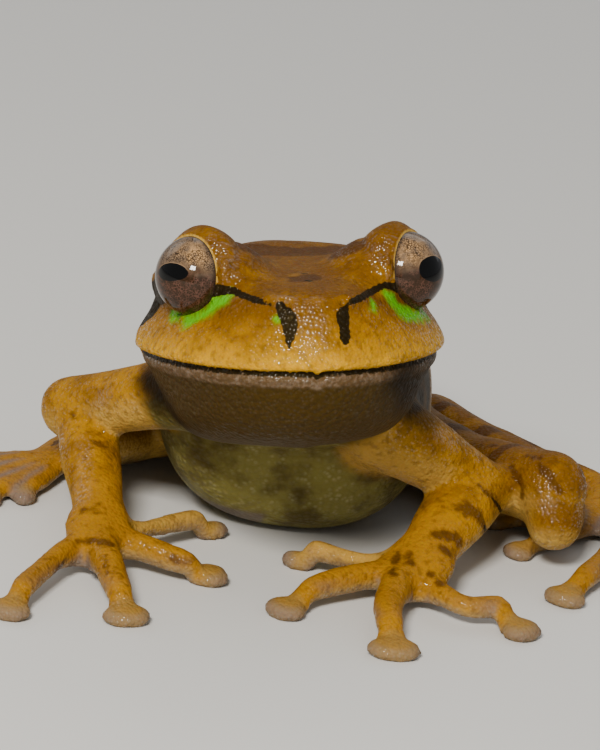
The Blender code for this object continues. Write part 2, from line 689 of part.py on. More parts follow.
def web(side, first, second, reach):
    """Thin skin between two digits with a hollow free edge."""
    paths = []
    for name in (first, second):
        bones = [b[:3] for b in DIGITS[side][name][:-1]]
        line = smooth_path(bones, 4)
        paths.append([Vector(p) for p in line])
    last = len(paths[0]) - 1
    rows = []
    for i in range(WEB_ROWS):
        along = i / (WEB_ROWS - 1)
        for j in range(WEB_COLUMNS):
            across = j / (WEB_COLUMNS - 1)
            slack = 1 - WEB_HOLLOW * math.sin(math.pi * across) * along
            reached = along * reach * slack * last
            low = int(reached)
            high = min(low + 1, last)
            ends = [path[low].lerp(path[high], reached - low) for path in paths]
            spot = ends[0].lerp(ends[1], across)
            rows.append((spot.x, spot.y))
    points = [(x, y, WEB_Z - WEB_THICK / 2) for x, y in rows]
    points += [(x, y, WEB_Z + WEB_THICK / 2) for x, y in rows]
    faces = []
    shift = WEB_ROWS * WEB_COLUMNS
    for i in range(WEB_ROWS - 1):
        for j in range(WEB_COLUMNS - 1):
            a = i * WEB_COLUMNS + j
            b = a + WEB_COLUMNS
            faces.append((a, b, b + 1, a + 1))
            faces.append((shift + a, shift + a + 1, shift + b + 1, shift + b))
    edge = WEB_COLUMNS - 1
    border = list(range(WEB_COLUMNS)) + [i * WEB_COLUMNS + edge for i in range(1, WEB_ROWS)]
    border += [(WEB_ROWS - 1) * WEB_COLUMNS + j for j in range(edge - 1, -1, -1)]
    border += [i * WEB_COLUMNS for i in range(WEB_ROWS - 2, 0, -1)]
    for a, b in zip(border, border[1:] + border[:1]):
        faces.append((a, b, b + shift, a + shift))
    return solid("web", points, faces)


def finish(target, name, colour):
    target.name = name
    target.data.name = name
    target.data.materials.clear()
    target.data.materials.append(material(colour))
    target.data.shade_smooth()
    target.data.set_sharp_from_angle(angle=math.radians(40))


def make_digits(side, sole, near, kind):
    """Digits of one hand or foot; of two neighbours the inner one of the pair keeps the web between them."""
    names = sorted(name for name in DIGITS[side] if name.startswith(kind))
    keepers = KEEPERS[kind]
    for name in names:
        part = digit(side, name)
        webs = []
        for first, second, reach in WEBS[sole]:
            keeper = second if keepers.get(first) == second else first
            if keeper == name:
                other = first if keeper == second else second
                skin = web(side, first, second, reach)
                carve(skin, [digit(side, other, GAP)])
                webs.append(skin)
        if webs:
            join(part, webs)
        cutters = [limb(side, length, GAP) for length in (sole, *near)]
        if name in keepers:
            cutters.append(digit(side, keepers[name], GAP))
        carve(part, cutters)
        finish(part, f"{name}_{side}", "digit")


def make_limbs(side):
    """Arm and leg of one side, each length trimmed clear of the one that it grows from."""
    for name, near, colour in LENGTHS:
        part = limb(side, name)
        cutters = [limb(side, other, GAP) for other in near]
        if name in ROOTED:
            cutters += body_cutters()
        carve(part, cutters)
        finish(part, f"{name}_{side}", colour)
    make_digits(side, "hand", ("forearm",), "finger")
    make_digits(side, "foot", ("tarsus", "shank"), "toe")


def main():
    clear_scene()
    finish(make_head(), "head", "bronze")
    finish(torso_form("torso"), "torso", "belly")
    for name, side in (("left", 1), ("right", -1)):
        finish(make_eye(f"eye_{name}", side), f"eye_{name}", "iris")
        make_limbs(name)


main()
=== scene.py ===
import bpy
import numpy as np
from mathutils import Matrix, Vector
from mathutils.bvhtree import BVHTree


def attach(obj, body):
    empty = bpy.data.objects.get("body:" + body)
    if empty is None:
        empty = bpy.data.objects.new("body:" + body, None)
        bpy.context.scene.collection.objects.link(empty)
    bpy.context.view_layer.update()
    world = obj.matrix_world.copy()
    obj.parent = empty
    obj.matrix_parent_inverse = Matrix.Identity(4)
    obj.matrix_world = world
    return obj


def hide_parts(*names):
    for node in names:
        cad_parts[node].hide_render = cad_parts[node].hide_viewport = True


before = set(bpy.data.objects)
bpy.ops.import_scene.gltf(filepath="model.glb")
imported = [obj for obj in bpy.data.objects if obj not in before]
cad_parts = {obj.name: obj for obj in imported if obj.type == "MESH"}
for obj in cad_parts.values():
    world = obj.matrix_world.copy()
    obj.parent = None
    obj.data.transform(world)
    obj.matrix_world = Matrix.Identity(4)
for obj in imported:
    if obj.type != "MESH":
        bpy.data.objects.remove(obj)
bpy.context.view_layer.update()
print("frame loaded:", len(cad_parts), "nodes")

# Sizes are the frog's own millimetres: it faces -Y, its left side is +X, and the floor is z = 0.
mm = 0.001
middle = np.array([-0.099, 28.081, 0.0])      # floor point that is the frame's origin

camera = {
    "elevation": 18.0, "roll": 7.0,           # degrees
    "distance": 280.0,
    "aim": 19.55,                             # how far up the picture plane through the eyes is aimed
    "pixel": 0.0742,                          # one pixel of the photo at that distance
    "wide": 600, "high": 750,
}

head = {
    "at": (-0.9, 8.3, 25.7), "pitch": 13.0, "roll": 5.7, "yaw": 9.0,
    "neckY": 10.4, "jawY": 7.4, "jawTurns": 9, "neckTurns": 2,
    # from throat to crown: front y, z in front, z at the neck, half width, half width at neck
    "rows": ((-1.2, -12.9, -14.2, 0.0, 0.0), (-4.4, -12.0, -13.4, 6.2, 6.0), (-6.5, -10.6, -11.7, 8.7, 8.3),
             (-7.8, -8.9, -9.0, 9.9, 9.4), (-8.3, -7.7, -7.2, 10.7, 9.8), (-8.5, -7.05, -6.35, 11.15, 10.0),
             (-8.6, -6.6, -5.85, 11.3, 10.0), (-8.85, -6.2, -5.4, 11.6, 10.1),
             (-8.95, -5.6, -4.7, 11.65, 10.1),
             (-8.85, -4.3, -3.3, 10.8, 9.9), (-8.55, -2.8, -1.5, 9.4, 9.2), (-7.9, -1.5, 0.5, 8.2, 8.2),
             (-6.8, -0.8, 1.6, 5.4, 5.6), (-5.4, -0.45, 2.0, 0.0, 0.0)),
    "browSlope": ((6.2, 0.9, 0.3), (4.0, 4.4, 2.5)),
    "temple": ((8.2, 4.2, -0.6), (2.6, 4.2, 2.4)),
    "canthus": ((6.6, -2.2, -0.4), (5.2, -4.6, -0.75), (3.6, -6.4, -1.1), (2.4, -7.4, -1.35)),
    "canthusRadii": (1.1, 1.1, 0.95, 0.7), "canthusRise": 0.3,
    "fold": ((9.6, 2.6, 1.4), (10.6, 4.8, 1.2), (11.2, 7.4, 0.3), (11.4, 9.2, -1.6), (11.0, 9.9, -3.2)),
    "foldRadii": (0.5, 0.6, 0.6, 0.5, 0.35),
}

eye = {
    "x": 7.75, "radius": 3.05,
    "turn": 55.0, "tilt": 0.06,               # degrees outwards that the opening looks, and how far up
    "opening": 76.5,                          # half angle of the opening, degrees
    "lid": 0.13, "brow": 0.8,                 # thickness of the lid's edge and of the brow
    "browTurn": 24.0,                         # degrees beyond the opening where the brow is full
    "rim": 0.06, "rimTurn": 3.0,              # rise of the lid's rim, and degrees out to its crest
    "socket": 0.5, "cleared": 0.6,            # depth of the skin under the eye, and of what stood before it
}

trunk = {
    # from neck to vent: y and z of the back, y and z of the belly, half width, middle x
    "rows": ((21.6, 24.4, 16.4, 9.2, 10.0, -1.5), (25.5, 23.2, 17.8, 5.6, 10.3, -0.9),
             (29.5, 21.7, 19.8, 2.2, 10.6, -0.4), (34.0, 19.9, 23.6, 0.1, 10.8, 0.0),
             (38.5, 18.0, 30.0, -0.5, 10.5, 0.2), (43.0, 16.0, 37.5, -0.4, 9.6, 0.4),
             (47.5, 13.6, 44.5, 0.2, 8.3, 0.5), (51.5, 11.4, 50.0, 1.2, 6.8, 0.6),
             (55.0, 9.6, 54.6, 2.4, 5.4, 0.7), (57.8, 8.1, 57.8, 3.6, 3.8, 0.8)),
    "vent": (0.9, 59.8, 5.6), "square": 0.86, "sag": 0.07,
}

# Stations of x, y, z, half width and half height.
limbs = {
    "left": {
        "upper_arm": ((6.4, 17.6, 11.4, 3.3, 3.3), (9.5, 18.9, 9.8, 2.9, 3.0), (12.6, 21.0, 7.6, 2.4, 2.5),
                      (15.2, 22.7, 5.7, 2.3, 2.4)),
        "forearm": ((15.4, 22.4, 5.6, 2.4, 2.4), (13.8, 19.2, 5.0, 2.8, 2.6), (12.5, 16.2, 4.1, 2.6, 2.3),
                    (11.7, 14.2, 3.4, 2.4, 2.0)),
        "hand": ((11.5, 13.8, 3.3, 2.4, 1.9), (10.9, 12.0, 2.7, 3.0, 1.75), (10.2, 10.4, 2.2, 2.9, 1.45)),
        "thigh": ((4.8, 48.0, 5.0, 4.2, 4.2), (8.8, 40.6, 3.5, 3.7, 3.3), (13.4, 34.0, 3.7, 3.3, 3.0),
                  (17.7, 27.7, 5.0, 3.0, 2.9), (21.0, 22.3, 6.4, 2.8, 3.1)),
        "shank": ((21.4, 21.0, 4.0, 2.3, 2.3), (21.8, 27.8, 3.2, 2.3, 2.4), (20.0, 35.2, 2.8, 2.3, 2.3),
                  (15.7, 42.8, 2.5, 2.0, 2.1), (10.9, 50.2, 2.4, 1.8, 1.8)),
        "tarsus": ((11.8, 52.4, 2.2, 1.7, 1.6), (15.8, 48.0, 1.8, 1.5, 1.4), (20.8, 42.6, 1.6, 1.4, 1.3),
                   (26.0, 38.2, 1.6, 1.6, 1.3)),
        "foot": ((26.4, 37.6, 1.6, 1.8, 1.3), (26.9, 34.4, 1.5, 2.5, 1.2), (26.5, 31.8, 1.5, 2.5, 1.0)),
    },
    "right": {
        "upper_arm": ((-7.0, 14.6, 13.4, 3.0, 3.1), (-10.6, 17.6, 11.8, 2.6, 2.7),
                      (-14.6, 21.2, 9.5, 2.4, 2.5), (-17.9, 24.4, 7.5, 2.4, 2.6)),
        "forearm": ((-16.5, 23.2, 7.2, 2.3, 2.3), (-15.7, 19.4, 5.9, 2.4, 2.3), (-14.8, 15.9, 4.6, 2.2, 2.1),
                    (-14.2, 13.2, 3.6, 2.1, 1.8)),
        "hand": ((-14.1, 12.8, 3.5, 2.2, 1.8), (-14.0, 10.9, 2.9, 2.7, 1.6), (-13.8, 9.2, 2.3, 2.6, 1.3)),
        "thigh": ((-3.4, 48.8, 5.2, 4.2, 4.2), (-7.0, 41.6, 4.0, 3.8, 3.5), (-11.2, 33.6, 4.2, 3.1, 3.1),
                  (-15.2, 26.8, 5.0, 2.8, 2.9)),
        "shank": ((-16.4, 26.0, 4.0, 2.2, 2.1), (-16.9, 31.5, 4.3, 2.1, 2.0), (-14.6, 39.0, 4.2, 2.1, 2.0),
                  (-11.4, 46.2, 3.5, 2.0, 2.0), (-8.0, 52.4, 2.9, 1.8, 1.8)),
        "tarsus": ((-8.6, 54.8, 2.3, 1.7, 1.5), (-13.0, 49.6, 1.7, 1.5, 1.3), (-15.9, 43.4, 1.4, 1.4, 1.2),
                   (-17.2, 36.8, 1.25, 1.6, 1.15)),
        "foot": ((-17.3, 35.9, 1.25, 1.8, 1.15), (-18.2, 31.8, 1.2, 2.3, 1.1), (-19.8, 28.2, 1.2, 2.4, 0.95)),
    },
}

# Joints of x, y, z and half thickness, then the pad's x, y, half width and half length.
digits = {
    "left": {
        "finger_1": ((9.4, 12.6, 2.3, 1.0), (6.6, 13.0, 1.9, 0.85), (4.6, 13.9, 1.7, 0.8),
                     (3.0, 14.4, 1.8, 0.85), (1.7, 15.0, 1.05, 1.3)),
        "finger_2": ((9.2, 11.2, 2.2, 1.2), (6.4, 9.6, 1.9, 1.15), (4.2, 8.0, 1.7, 1.05),
                     (2.9, 6.8, 1.5, 0.95), (1.3, 4.9, 1.7, 1.75)),
        "finger_3": ((9.8, 10.6, 2.3, 1.35), (9.1, 7.4, 2.1, 1.3), (8.7, 4.4, 1.8, 1.15),
                     (8.9, 2.0, 1.5, 1.05), (9.3, -0.4, 2.1, 1.75)),
        "finger_4": ((11.4, 11.0, 2.2, 1.15), (12.8, 8.4, 1.8, 1.0), (14.8, 7.2, 1.5, 0.85),
                     (17.0, 7.9, 1.5, 0.9), (18.7, 6.4, 1.7, 1.7)),
        "toe_1": ((25.4, 33.0, 1.5, 1.0), (23.6, 32.8, 1.2, 0.8), (21.6, 32.9, 1.0, 0.75),
                  (19.8, 33.4, 0.95, 0.75), (18.3, 33.9, 1.0, 1.2)),
        "toe_2": ((25.8, 32.2, 1.5, 1.0), (23.6, 30.8, 1.2, 0.8), (21.4, 30.1, 1.0, 0.75),
                  (19.2, 29.8, 0.95, 0.8), (17.4, 29.6, 1.3, 1.4)),
        "toe_3": ((26.2, 31.8, 1.5, 1.0), (24.4, 28.9, 1.2, 0.85), (22.4, 26.6, 1.0, 0.8),
                  (20.8, 25.0, 0.95, 0.85), (19.3, 23.5, 1.4, 1.4)),
        "toe_4": ((26.8, 31.6, 1.5, 1.1), (27.0, 26.8, 1.4, 1.0), (26.0, 21.8, 1.4, 1.0),
                  (24.2, 17.4, 1.3, 1.0), (22.7, 14.6, 1.8, 1.6)),
        "toe_5": ((27.6, 32.2, 1.5, 1.1), (29.0, 28.4, 1.3, 0.9), (29.7, 24.6, 1.2, 0.85),
                  (29.5, 21.2, 1.1, 0.85), (29.2, 18.9, 1.6, 1.5)),
    },
    "right": {
        "finger_1": ((-12.8, 11.4, 2.4, 1.0), (-10.7, 13.6, 2.1, 0.85), (-8.7, 16.0, 1.9, 0.8),
                     (-7.0, 17.8, 1.8, 0.85), (-5.5, 19.3, 1.1, 1.4)),
        "finger_2": ((-12.9, 10.2, 2.4, 1.2), (-10.4, 9.7, 2.1, 1.15), (-8.4, 9.2, 1.8, 1.05),
                     (-7.0, 8.9, 1.6, 0.95), (-5.3, 9.5, 1.7, 1.65)),
        "finger_3": ((-13.6, 9.4, 2.5, 1.3), (-12.8, 6.2, 2.2, 1.25), (-12.0, 3.4, 1.8, 1.1),
                     (-11.4, 1.6, 1.5, 1.0), (-10.7, -0.3, 1.9, 1.6)),
        "finger_4": ((-14.7, 9.6, 2.4, 1.15), (-16.2, 6.9, 2.0, 1.0), (-17.4, 3.4, 1.7, 0.85),
                     (-18.4, 0.2, 1.5, 0.9), (-19.0, -1.9, 1.65, 1.6)),
        "toe_1": ((-18.6, 28.6, 1.2, 0.95), (-18.9, 26.6, 1.1, 0.8), (-19.4, 25.0, 1.0, 0.75),
                  (-20.0, 23.7, 0.95, 0.75), (-20.5, 22.2, 1.0, 1.2)),
        "toe_2": ((-19.3, 27.7, 1.2, 1.0), (-20.4, 25.6, 1.1, 0.8), (-21.4, 23.8, 1.0, 0.75),
                  (-22.4, 22.2, 0.95, 0.8), (-23.3, 20.7, 1.3, 1.4)),
        "toe_3": ((-20.2, 27.3, 1.2, 1.0), (-22.1, 25.2, 1.1, 0.85), (-23.9, 23.3, 1.0, 0.8),
                  (-25.4, 21.6, 0.95, 0.85), (-26.6, 20.1, 1.5, 1.5)),
        "toe_4": ((-20.8, 27.7, 1.2, 1.05), (-23.3, 26.3, 1.15, 0.95), (-25.8, 24.5, 1.1, 0.9),
                  (-27.9, 22.6, 1.05, 0.9), (-29.2, 21.1, 1.7, 1.6)),
        "toe_5": ((-20.9, 28.7, 1.2, 1.05), (-23.3, 28.3, 1.15, 0.9), (-25.7, 27.4, 1.05, 0.85),
                  (-27.7, 26.2, 1.0, 0.85), (-29.3, 25.1, 1.5, 1.5)),
    },
}
pad = {
    "middleZ": 0.5, "halfHeight": 0.8,
    "neck": (0.35, 0.92, 0.8),                # share of the way to the pad, of the joint's width and height
    # along the pad, share of its half width, share of its half height
    "outline": ((-0.4, 0.66, 0.98), (-0.05, 0.93, 1.0), (0.35, 1.0, 0.92), (0.66, 0.84, 0.8)),
}
web = {
    "z": 1.0, "thick": 0.75, "hollow": 0.5, "rows": 40, "columns": 48,
    "hand": (("finger_2", "finger_3", 0.3), ("finger_3", "finger_4", 0.5)),
    "foot": (("toe_1", "toe_2", 0.5), ("toe_2", "toe_3", 0.55), ("toe_3", "toe_4", 0.6),
             ("toe_4", "toe_5", 0.75)),
}


def smoothStep(low, high, value):             # 0 up to low and 1 from high, with a soft turn between
    t = np.clip((value - low) / (high - low), 0, 1)
    return t * t * (3 - 2 * t)


def bell(value, width):                       # 1 where value is 0, falling to nothing either side
    return np.exp(-(value / width) ** 2)


def unit(v):
    return v / np.maximum(np.linalg.norm(v, axis=-1, keepdims=True), 1e-9)


def smoothPath(stations, steps):
    # Catmull-Rom curve through the stations: cubic weights of four neighbours, all spans and steps at once
    s = np.asarray(stations, float)
    knots = np.vstack([2 * s[0] - s[1], s, 2 * s[-1] - s[-2]])
    t = (np.arange(steps) / steps)[None, :, None]
    a, b, c, d = knots[:-3, None], knots[1:-2, None], knots[2:-1, None], knots[3:, None]
    spans = 0.5 * (2 * b + (c - a) * t + (2 * a - 5 * b + 4 * c - d) * t ** 2
                   + (3 * b - a - 3 * c + d) * t ** 3)
    return np.vstack([spans.reshape(-1, s.shape[1]), s[-1:]])


headTurn = np.array(Matrix.Rotation(np.radians(head["yaw"]), 3, "Z")
                    @ Matrix.Rotation(np.radians(-head["pitch"]), 3, "X")
                    @ Matrix.Rotation(np.radians(-head["roll"]), 3, "Y"))
headAt = np.array(head["at"])


def fromHead(local):                          # head's own frame to the frog's
    return np.asarray(local, float) @ headTurn.T + headAt


def toHead(points):
    return (points - headAt) @ headTurn


def shell(rings, first, last):
    # skin over a stack of closed rings, each row a ring, with a fan to one point before it and one after it
    rows, columns = rings.shape[:2]
    r, c = np.meshgrid(np.arange(rows - 1), np.arange(columns), indexing="ij")
    a = r * columns + c
    b = r * columns + (c + 1) % columns
    sides = np.stack([a, b, b + columns, a, b + columns, a + columns], -1).reshape(-1, 3)
    k = np.arange(columns)
    ahead = (k + 1) % columns
    low = np.stack([np.full(columns, rows * columns), ahead, k], -1)
    high = np.stack([np.full(columns, rows * columns + 1), (rows - 1) * columns + k,
                     (rows - 1) * columns + ahead], -1)
    points = np.vstack([rings.reshape(-1, 3), [first, last]])
    return points, np.vstack([sides, low, high])


def tubeForm(stations, sides=28, steps=8, caps=5):
    # oval rings square to the path; at each end more rings pushed out by a cosine and shrunk by a sine
    path = smoothPath(stations, steps)
    spot, wide, high = path[:, :3], path[:, 3], path[:, 4]
    along = unit(np.vstack([spot[1] - spot[0], spot[2:] - spot[:-2], spot[-1] - spot[-2]]))
    side = unit(np.cross(along, [0, 0, 1]))
    lift = np.cross(side, along)
    turn = np.linspace(0, np.pi / 2, caps + 1)[1:-1]
    count = len(path)
    which = np.concatenate([np.zeros(caps - 1, int), np.arange(count), np.full(caps - 1, count - 1)])
    push = np.concatenate([-np.cos(turn), np.zeros(count), np.cos(turn[::-1])])
    shrink = np.concatenate([np.sin(turn), np.ones(count), np.sin(turn[::-1])])
    reach = np.minimum(wide, high)
    centre = spot[which] + along[which] * (push * reach[which])[:, None]
    a = np.linspace(0, 2 * np.pi, sides, endpoint=False)
    rings = (centre[:, None]
             + side[which][:, None] * (wide[which] * shrink)[:, None, None] * np.cos(a)[None, :, None]
             + lift[which][:, None] * (high[which] * shrink)[:, None, None] * np.sin(a)[None, :, None])
    points, faces = shell(rings, spot[0] - along[0] * reach[0], spot[-1] + along[-1] * reach[-1])
    points[:, 2] = np.maximum(points[:, 2], 0.0)
    return points, faces


def headGrid(rowSteps=5, columns=121):
    # rows from throat to crown; across, a quarter ellipse from snout to jaw corner, then an ease to the neck
    rows = smoothPath(head["rows"], rowSteps)
    rows[:, 3:] = np.maximum(rows[:, 3:], 0.0)
    front, zFront, zBack, wide, neck = (rows[:, i:i + 1] for i in range(5))
    turn = np.linspace(-1, 1, columns)[None] * (head["jawTurns"] + head["neckTurns"])
    side, turn = np.sign(turn), np.abs(turn)
    angle = np.radians(90) * np.minimum(turn / head["jawTurns"], 1)
    share = np.clip((turn - head["jawTurns"]) / head["neckTurns"], 0, 1)
    ease = 0.5 - 0.5 * np.cos(np.pi * share)
    x = side * (wide * np.sin(angle) + (neck - wide) * ease)
    y = head["jawY"] - (head["jawY"] - front) * np.cos(angle) + (head["neckY"] - head["jawY"]) * share
    z = zFront + (zBack - zFront) * (y - front) / (head["neckY"] - front)
    return np.stack([x, y, z], -1)


def headForm(grid):
    return shell(fromHead(grid), fromHead(grid[0].mean(0)), fromHead(grid[-1].mean(0)))


def trunkForm(grid, sunk=2.0):
    # from a loop sunk in the head to the vent; each ring a squared oval between a back and a belly point
    inside = np.array([0.0, sunk, 0.0])
    loop = fromHead(np.vstack([grid[::-1, 0], grid[1:-1, -1]]) - inside)
    crown, throat = loop[0], loop[len(grid) - 1]
    centre = loop.mean(0)
    up = (crown - throat) / np.linalg.norm(crown - throat)
    halfWide, halfHigh = loop[:, 0].max() - centre[0], np.linalg.norm(crown - throat) / 2
    angle = np.arctan2((loop[:, 0] - centre[0]) / halfWide, (loop - centre) @ up / halfHigh)
    path = smoothPath(trunk["rows"], 6)
    yBack, zBack, yBelly, zBelly, wide, side = (path[:, i:i + 1] for i in range(6))
    top = np.stack([side, yBack, zBack], -1)
    low = np.stack([side, yBelly, zBelly], -1)
    half = (top - low) / 2
    c, s = np.cos(angle)[None], np.sin(angle)[None]
    x = np.copysign(np.abs(s) ** trunk["square"], s) * wide * (1 - trunk["sag"] * c)
    rings = (top + low) / 2 + half * np.copysign(np.abs(c) ** trunk["square"], c)[..., None]
    rings[..., 0] += x
    points, faces = shell(np.concatenate([loop[None], rings]), centre, np.array(trunk["vent"]))
    points[:, 2] = np.maximum(points[:, 2], 0.0)
    return points, faces


def ballGrid(rings, sides):
    # ball of radius 1 in rings from pole to pole: sine and cosine of the tilt, and of the turn about the axis
    tilt = np.pi * np.arange(1, rings)[:, None] / rings
    turn = 2 * np.pi * np.arange(sides)[None] / sides
    return np.stack([np.sin(tilt) * np.cos(turn), np.sin(tilt) * np.sin(turn), np.cos(tilt) + 0 * turn], -1)


def ballForm(centre, radii):
    # ellipsoid in the head's frame
    pole = np.array([0, 0, radii[2]])
    rings = ballGrid(24, 40) * radii + centre
    return shell(fromHead(rings), fromHead(centre + pole), fromHead(centre - pole))


def eyeAxis(side):
    turn = np.radians(eye["turn"])
    return unit(np.array([side * np.sin(turn), -np.cos(turn), eye["tilt"]]))


def eyeMiddle(side):
    return np.array([side * eye["x"], 0.0, 0.0])


def browRadius(theta):
    # distance of the skin from the eye's middle, by the angle from the opening's axis, in degrees
    lid = eye["radius"] + eye["lid"]
    rising = (eye["brow"] - eye["lid"]) * smoothStep(0, eye["browTurn"], theta - eye["opening"])
    outside = lid + rising + eye["rim"] * bell(theta - eye["opening"] - eye["rimTurn"], eye["rimTurn"])
    inside = eye["radius"] - eye["socket"]
    return inside + (outside - inside) * smoothStep(-2.5, 1.5, theta - eye["opening"])


def browForm(side, rings=90, sides=72):
    # ball round the eye whose radius goes by the angle from the opening's axis
    axis = eyeAxis(side)
    across = unit(np.cross(axis, [0, 0, 1]))
    way = ballGrid(rings, sides) @ np.array([across, np.cross(across, axis), axis])
    theta = 180.0 * np.arange(1, rings)[:, None] / rings
    points = eyeMiddle(side) + way * browRadius(theta)[..., None]
    return shell(fromHead(points), fromHead(eyeMiddle(side) + axis * browRadius(0.0)),
                 fromHead(eyeMiddle(side) - axis * browRadius(180.0)))


def digitStations(joints):
    bones = np.array(joints[:-1])
    padX, padY, padWide, padLong = joints[-1]
    last, lastRadius = bones[-1, :3], bones[-1, 3]
    spot = np.array([padX, padY, pad["middleZ"]])
    ahead = unit((spot - last) * [1, 1, 0])
    at, wide, high = pad["neck"]
    neck = last + (spot - last) * at
    rows = [[*b[:3], b[3], b[3]] for b in bones]
    rows.append([*neck, lastRadius * wide, lastRadius * high])
    rows += [[*(spot + ahead * padLong * share), padWide * wide, pad["halfHeight"] * high]
             for share, wide, high in pad["outline"]]
    return np.array(rows)


def webForm(first, second, reach):
    # flat loops from one digit to the next and back beneath; the free edge lags behind in the middle
    paths = [smoothPath([b[:3] for b in d[:-1]], 4) for d in (first, second)]
    along = np.linspace(0.02, 1, web["rows"])[:, None]
    turn = 2 * np.pi * np.arange(web["columns"])[None] / web["columns"]
    across = 0.5 - 0.5 * np.cos(turn)
    reached = along * reach * (1 - web["hollow"] * np.sin(np.pi * across) * along) * (len(paths[0]) - 1)
    ends = [np.stack([np.interp(reached, np.arange(len(p)), p[:, k]) for k in range(3)], -1) for p in paths]
    spot = ends[0] + (ends[1] - ends[0]) * across[..., None]
    edge = np.sqrt(np.clip(1 - ((along - 0.5) * 2) ** 8, 0, 1))
    spot[..., 2] = web["z"] + web["thick"] / 2 * np.sin(turn) * edge
    return shell(spot, spot[0].mean(0), spot[-1].mean(0))


def placed(name, data):
    made = bpy.data.objects.new(name, data)
    bpy.context.scene.collection.objects.link(made)
    return made


def treeOf(points, faces):
    return BVHTree.FromPolygons(points.tolist(), faces.tolist())


def onSurface(tree, local):                   # a form's nearest point to this one, and the way out there
    spot, out, _, _ = tree.find_nearest(Vector(fromHead(local)))
    return np.array(spot), np.array(out)


def headRidges(tree, side):
    # canthal ridge from eye to nostril and the fold over the ear drum, both laid along the plain head
    flip = np.array([side, 1, 1])
    ridge = []
    for local, radius in zip(head["canthus"], head["canthusRadii"]):
        spot, out = onSurface(tree, flip * local)
        out = out if (spot - headAt) @ out > 0 else -out
        ridge.append([*(spot + out * (head["canthusRise"] - radius)), radius, radius])
    fold = [[*onSurface(tree, flip * local)[0], r, r] for local, r in zip(head["fold"], head["foldRadii"])]
    return [tubeForm(ridge), tubeForm(fold)]


def aroundEye(local, side):
    # way and distance from an eye's middle, and the angle from its opening's axis in degrees
    away = local - eyeMiddle(side)
    reach = np.maximum(np.linalg.norm(away, axis=1), 1e-9)
    return away, reach, np.degrees(np.arccos(np.clip(away @ eyeAxis(side) / reach, -1, 1)))


def clearEyes(points):
    # what would stand in front of an eye's opening, above its lower lid, is drawn in behind the eye's surface
    local = toHead(points)
    for side in (1, -1):
        away, reach, theta = aroundEye(local, side)
        over = reach - eye["radius"]
        front = (smoothStep(eye["opening"] + 1, eye["opening"] - 4, theta)
                 * smoothStep(-1.8, -1.0, away[:, 2]) * smoothStep(3.0, 2.2, over))
        local = local + away * ((np.minimum(over, -eye["cleared"]) - over) * front / reach)[:, None]
    return fromHead(local)


def allForms():
    grid = headGrid()
    plain = headForm(grid)
    tree = treeOf(*plain)
    forms = [plain, trunkForm(grid)]
    for side in (1, -1):
        for name in ("browSlope", "temple"):
            spot, radii = head[name]
            forms.append(ballForm(np.array(spot) * [side, 1, 1], radii))
        forms += headRidges(tree, side)
    forms = [(clearEyes(points), faces) for points, faces in forms]
    forms += [browForm(side) for side in (1, -1)]
    for side in ("left", "right"):
        forms += [tubeForm(rows) for rows in limbs[side].values()]
        forms += [tubeForm(digitStations(rows), 24, 5) for rows in digits[side].values()]
        for sole in ("hand", "foot"):
            forms += [webForm(digits[side][a], digits[side][b], reach) for a, b, reach in web[sole]]
    return forms


# While the forms are joined the head is drawn larger and then the rump smaller, for finer and coarser faces.
lenses = ({"at": (-0.9, 6.5, 22.5), "radius": 15.0, "power": 1.75},
          {"at": (0.7, 50.4, 4.8), "radius": 22.0, "power": 0.66})
voxel = 0.365


def magnify(points, back=False):
    # distance from a lens's middle grows by its power inside its radius, and by a fixed length outside
    for lens in lenses[::-1] if back else lenses:
        away = points - lens["at"]
        reach = np.linalg.norm(away, axis=1, keepdims=True)
        edge, power = lens["radius"], lens["power"]
        if back:
            wanted = np.where(reach < edge * power, reach / power, reach - (power - 1) * edge)
        else:
            wanted = np.where(reach < edge, reach * power, reach + (power - 1) * edge)
        points = lens["at"] + away * wanted / np.maximum(reach, 1e-9)
    return points


def joined(forms):
    # one closed surface round all the forms, as points and quads
    starts = np.cumsum([0] + [len(p) for p, _ in forms[:-1]])
    points = magnify(np.vstack([p for p, _ in forms]))
    faces = np.vstack([f + s for (_, f), s in zip(forms, starts)])
    mesh = bpy.data.meshes.new("forms")
    mesh.from_pydata(points.tolist(), [], faces.tolist())
    holder = placed("forms", mesh)
    union = holder.modifiers.new("union", "REMESH")
    union.mode = "VOXEL"
    union.voxel_size = voxel
    graph = bpy.context.evaluated_depsgraph_get()
    result = bpy.data.meshes.new_from_object(holder.evaluated_get(graph))
    spots = np.zeros(len(result.vertices) * 3)
    result.vertices.foreach_get("co", spots)
    corners = np.zeros(len(result.loops), int)
    result.loops.foreach_get("vertex_index", corners)
    quads = corners.reshape(-1, 4)
    bpy.data.objects.remove(holder)
    bpy.data.meshes.remove(result)
    return magnify(spots.reshape(-1, 3), back=True), quads


def edgesOf(quads):
    pairs = np.vstack([quads[:, [k, (k + 1) % 4]] for k in range(4)])
    return np.unique(np.sort(pairs, axis=1), axis=0)


def largest(points, quads):
    # only the biggest connected surface: each point takes its neighbours' lowest label until none changes
    pairs = edgesOf(quads)
    label = np.arange(len(points))
    while True:
        before = label.copy()
        low = np.minimum(label[pairs[:, 0]], label[pairs[:, 1]])
        np.minimum.at(label, pairs[:, 0], low)
        np.minimum.at(label, pairs[:, 1], low)
        label = label[label]
        if (label == before).all():
            break
    keep = label == np.bincount(label).argmax()
    order = np.cumsum(keep) - 1
    return points[keep], order[quads[keep[quads[:, 0]]]]


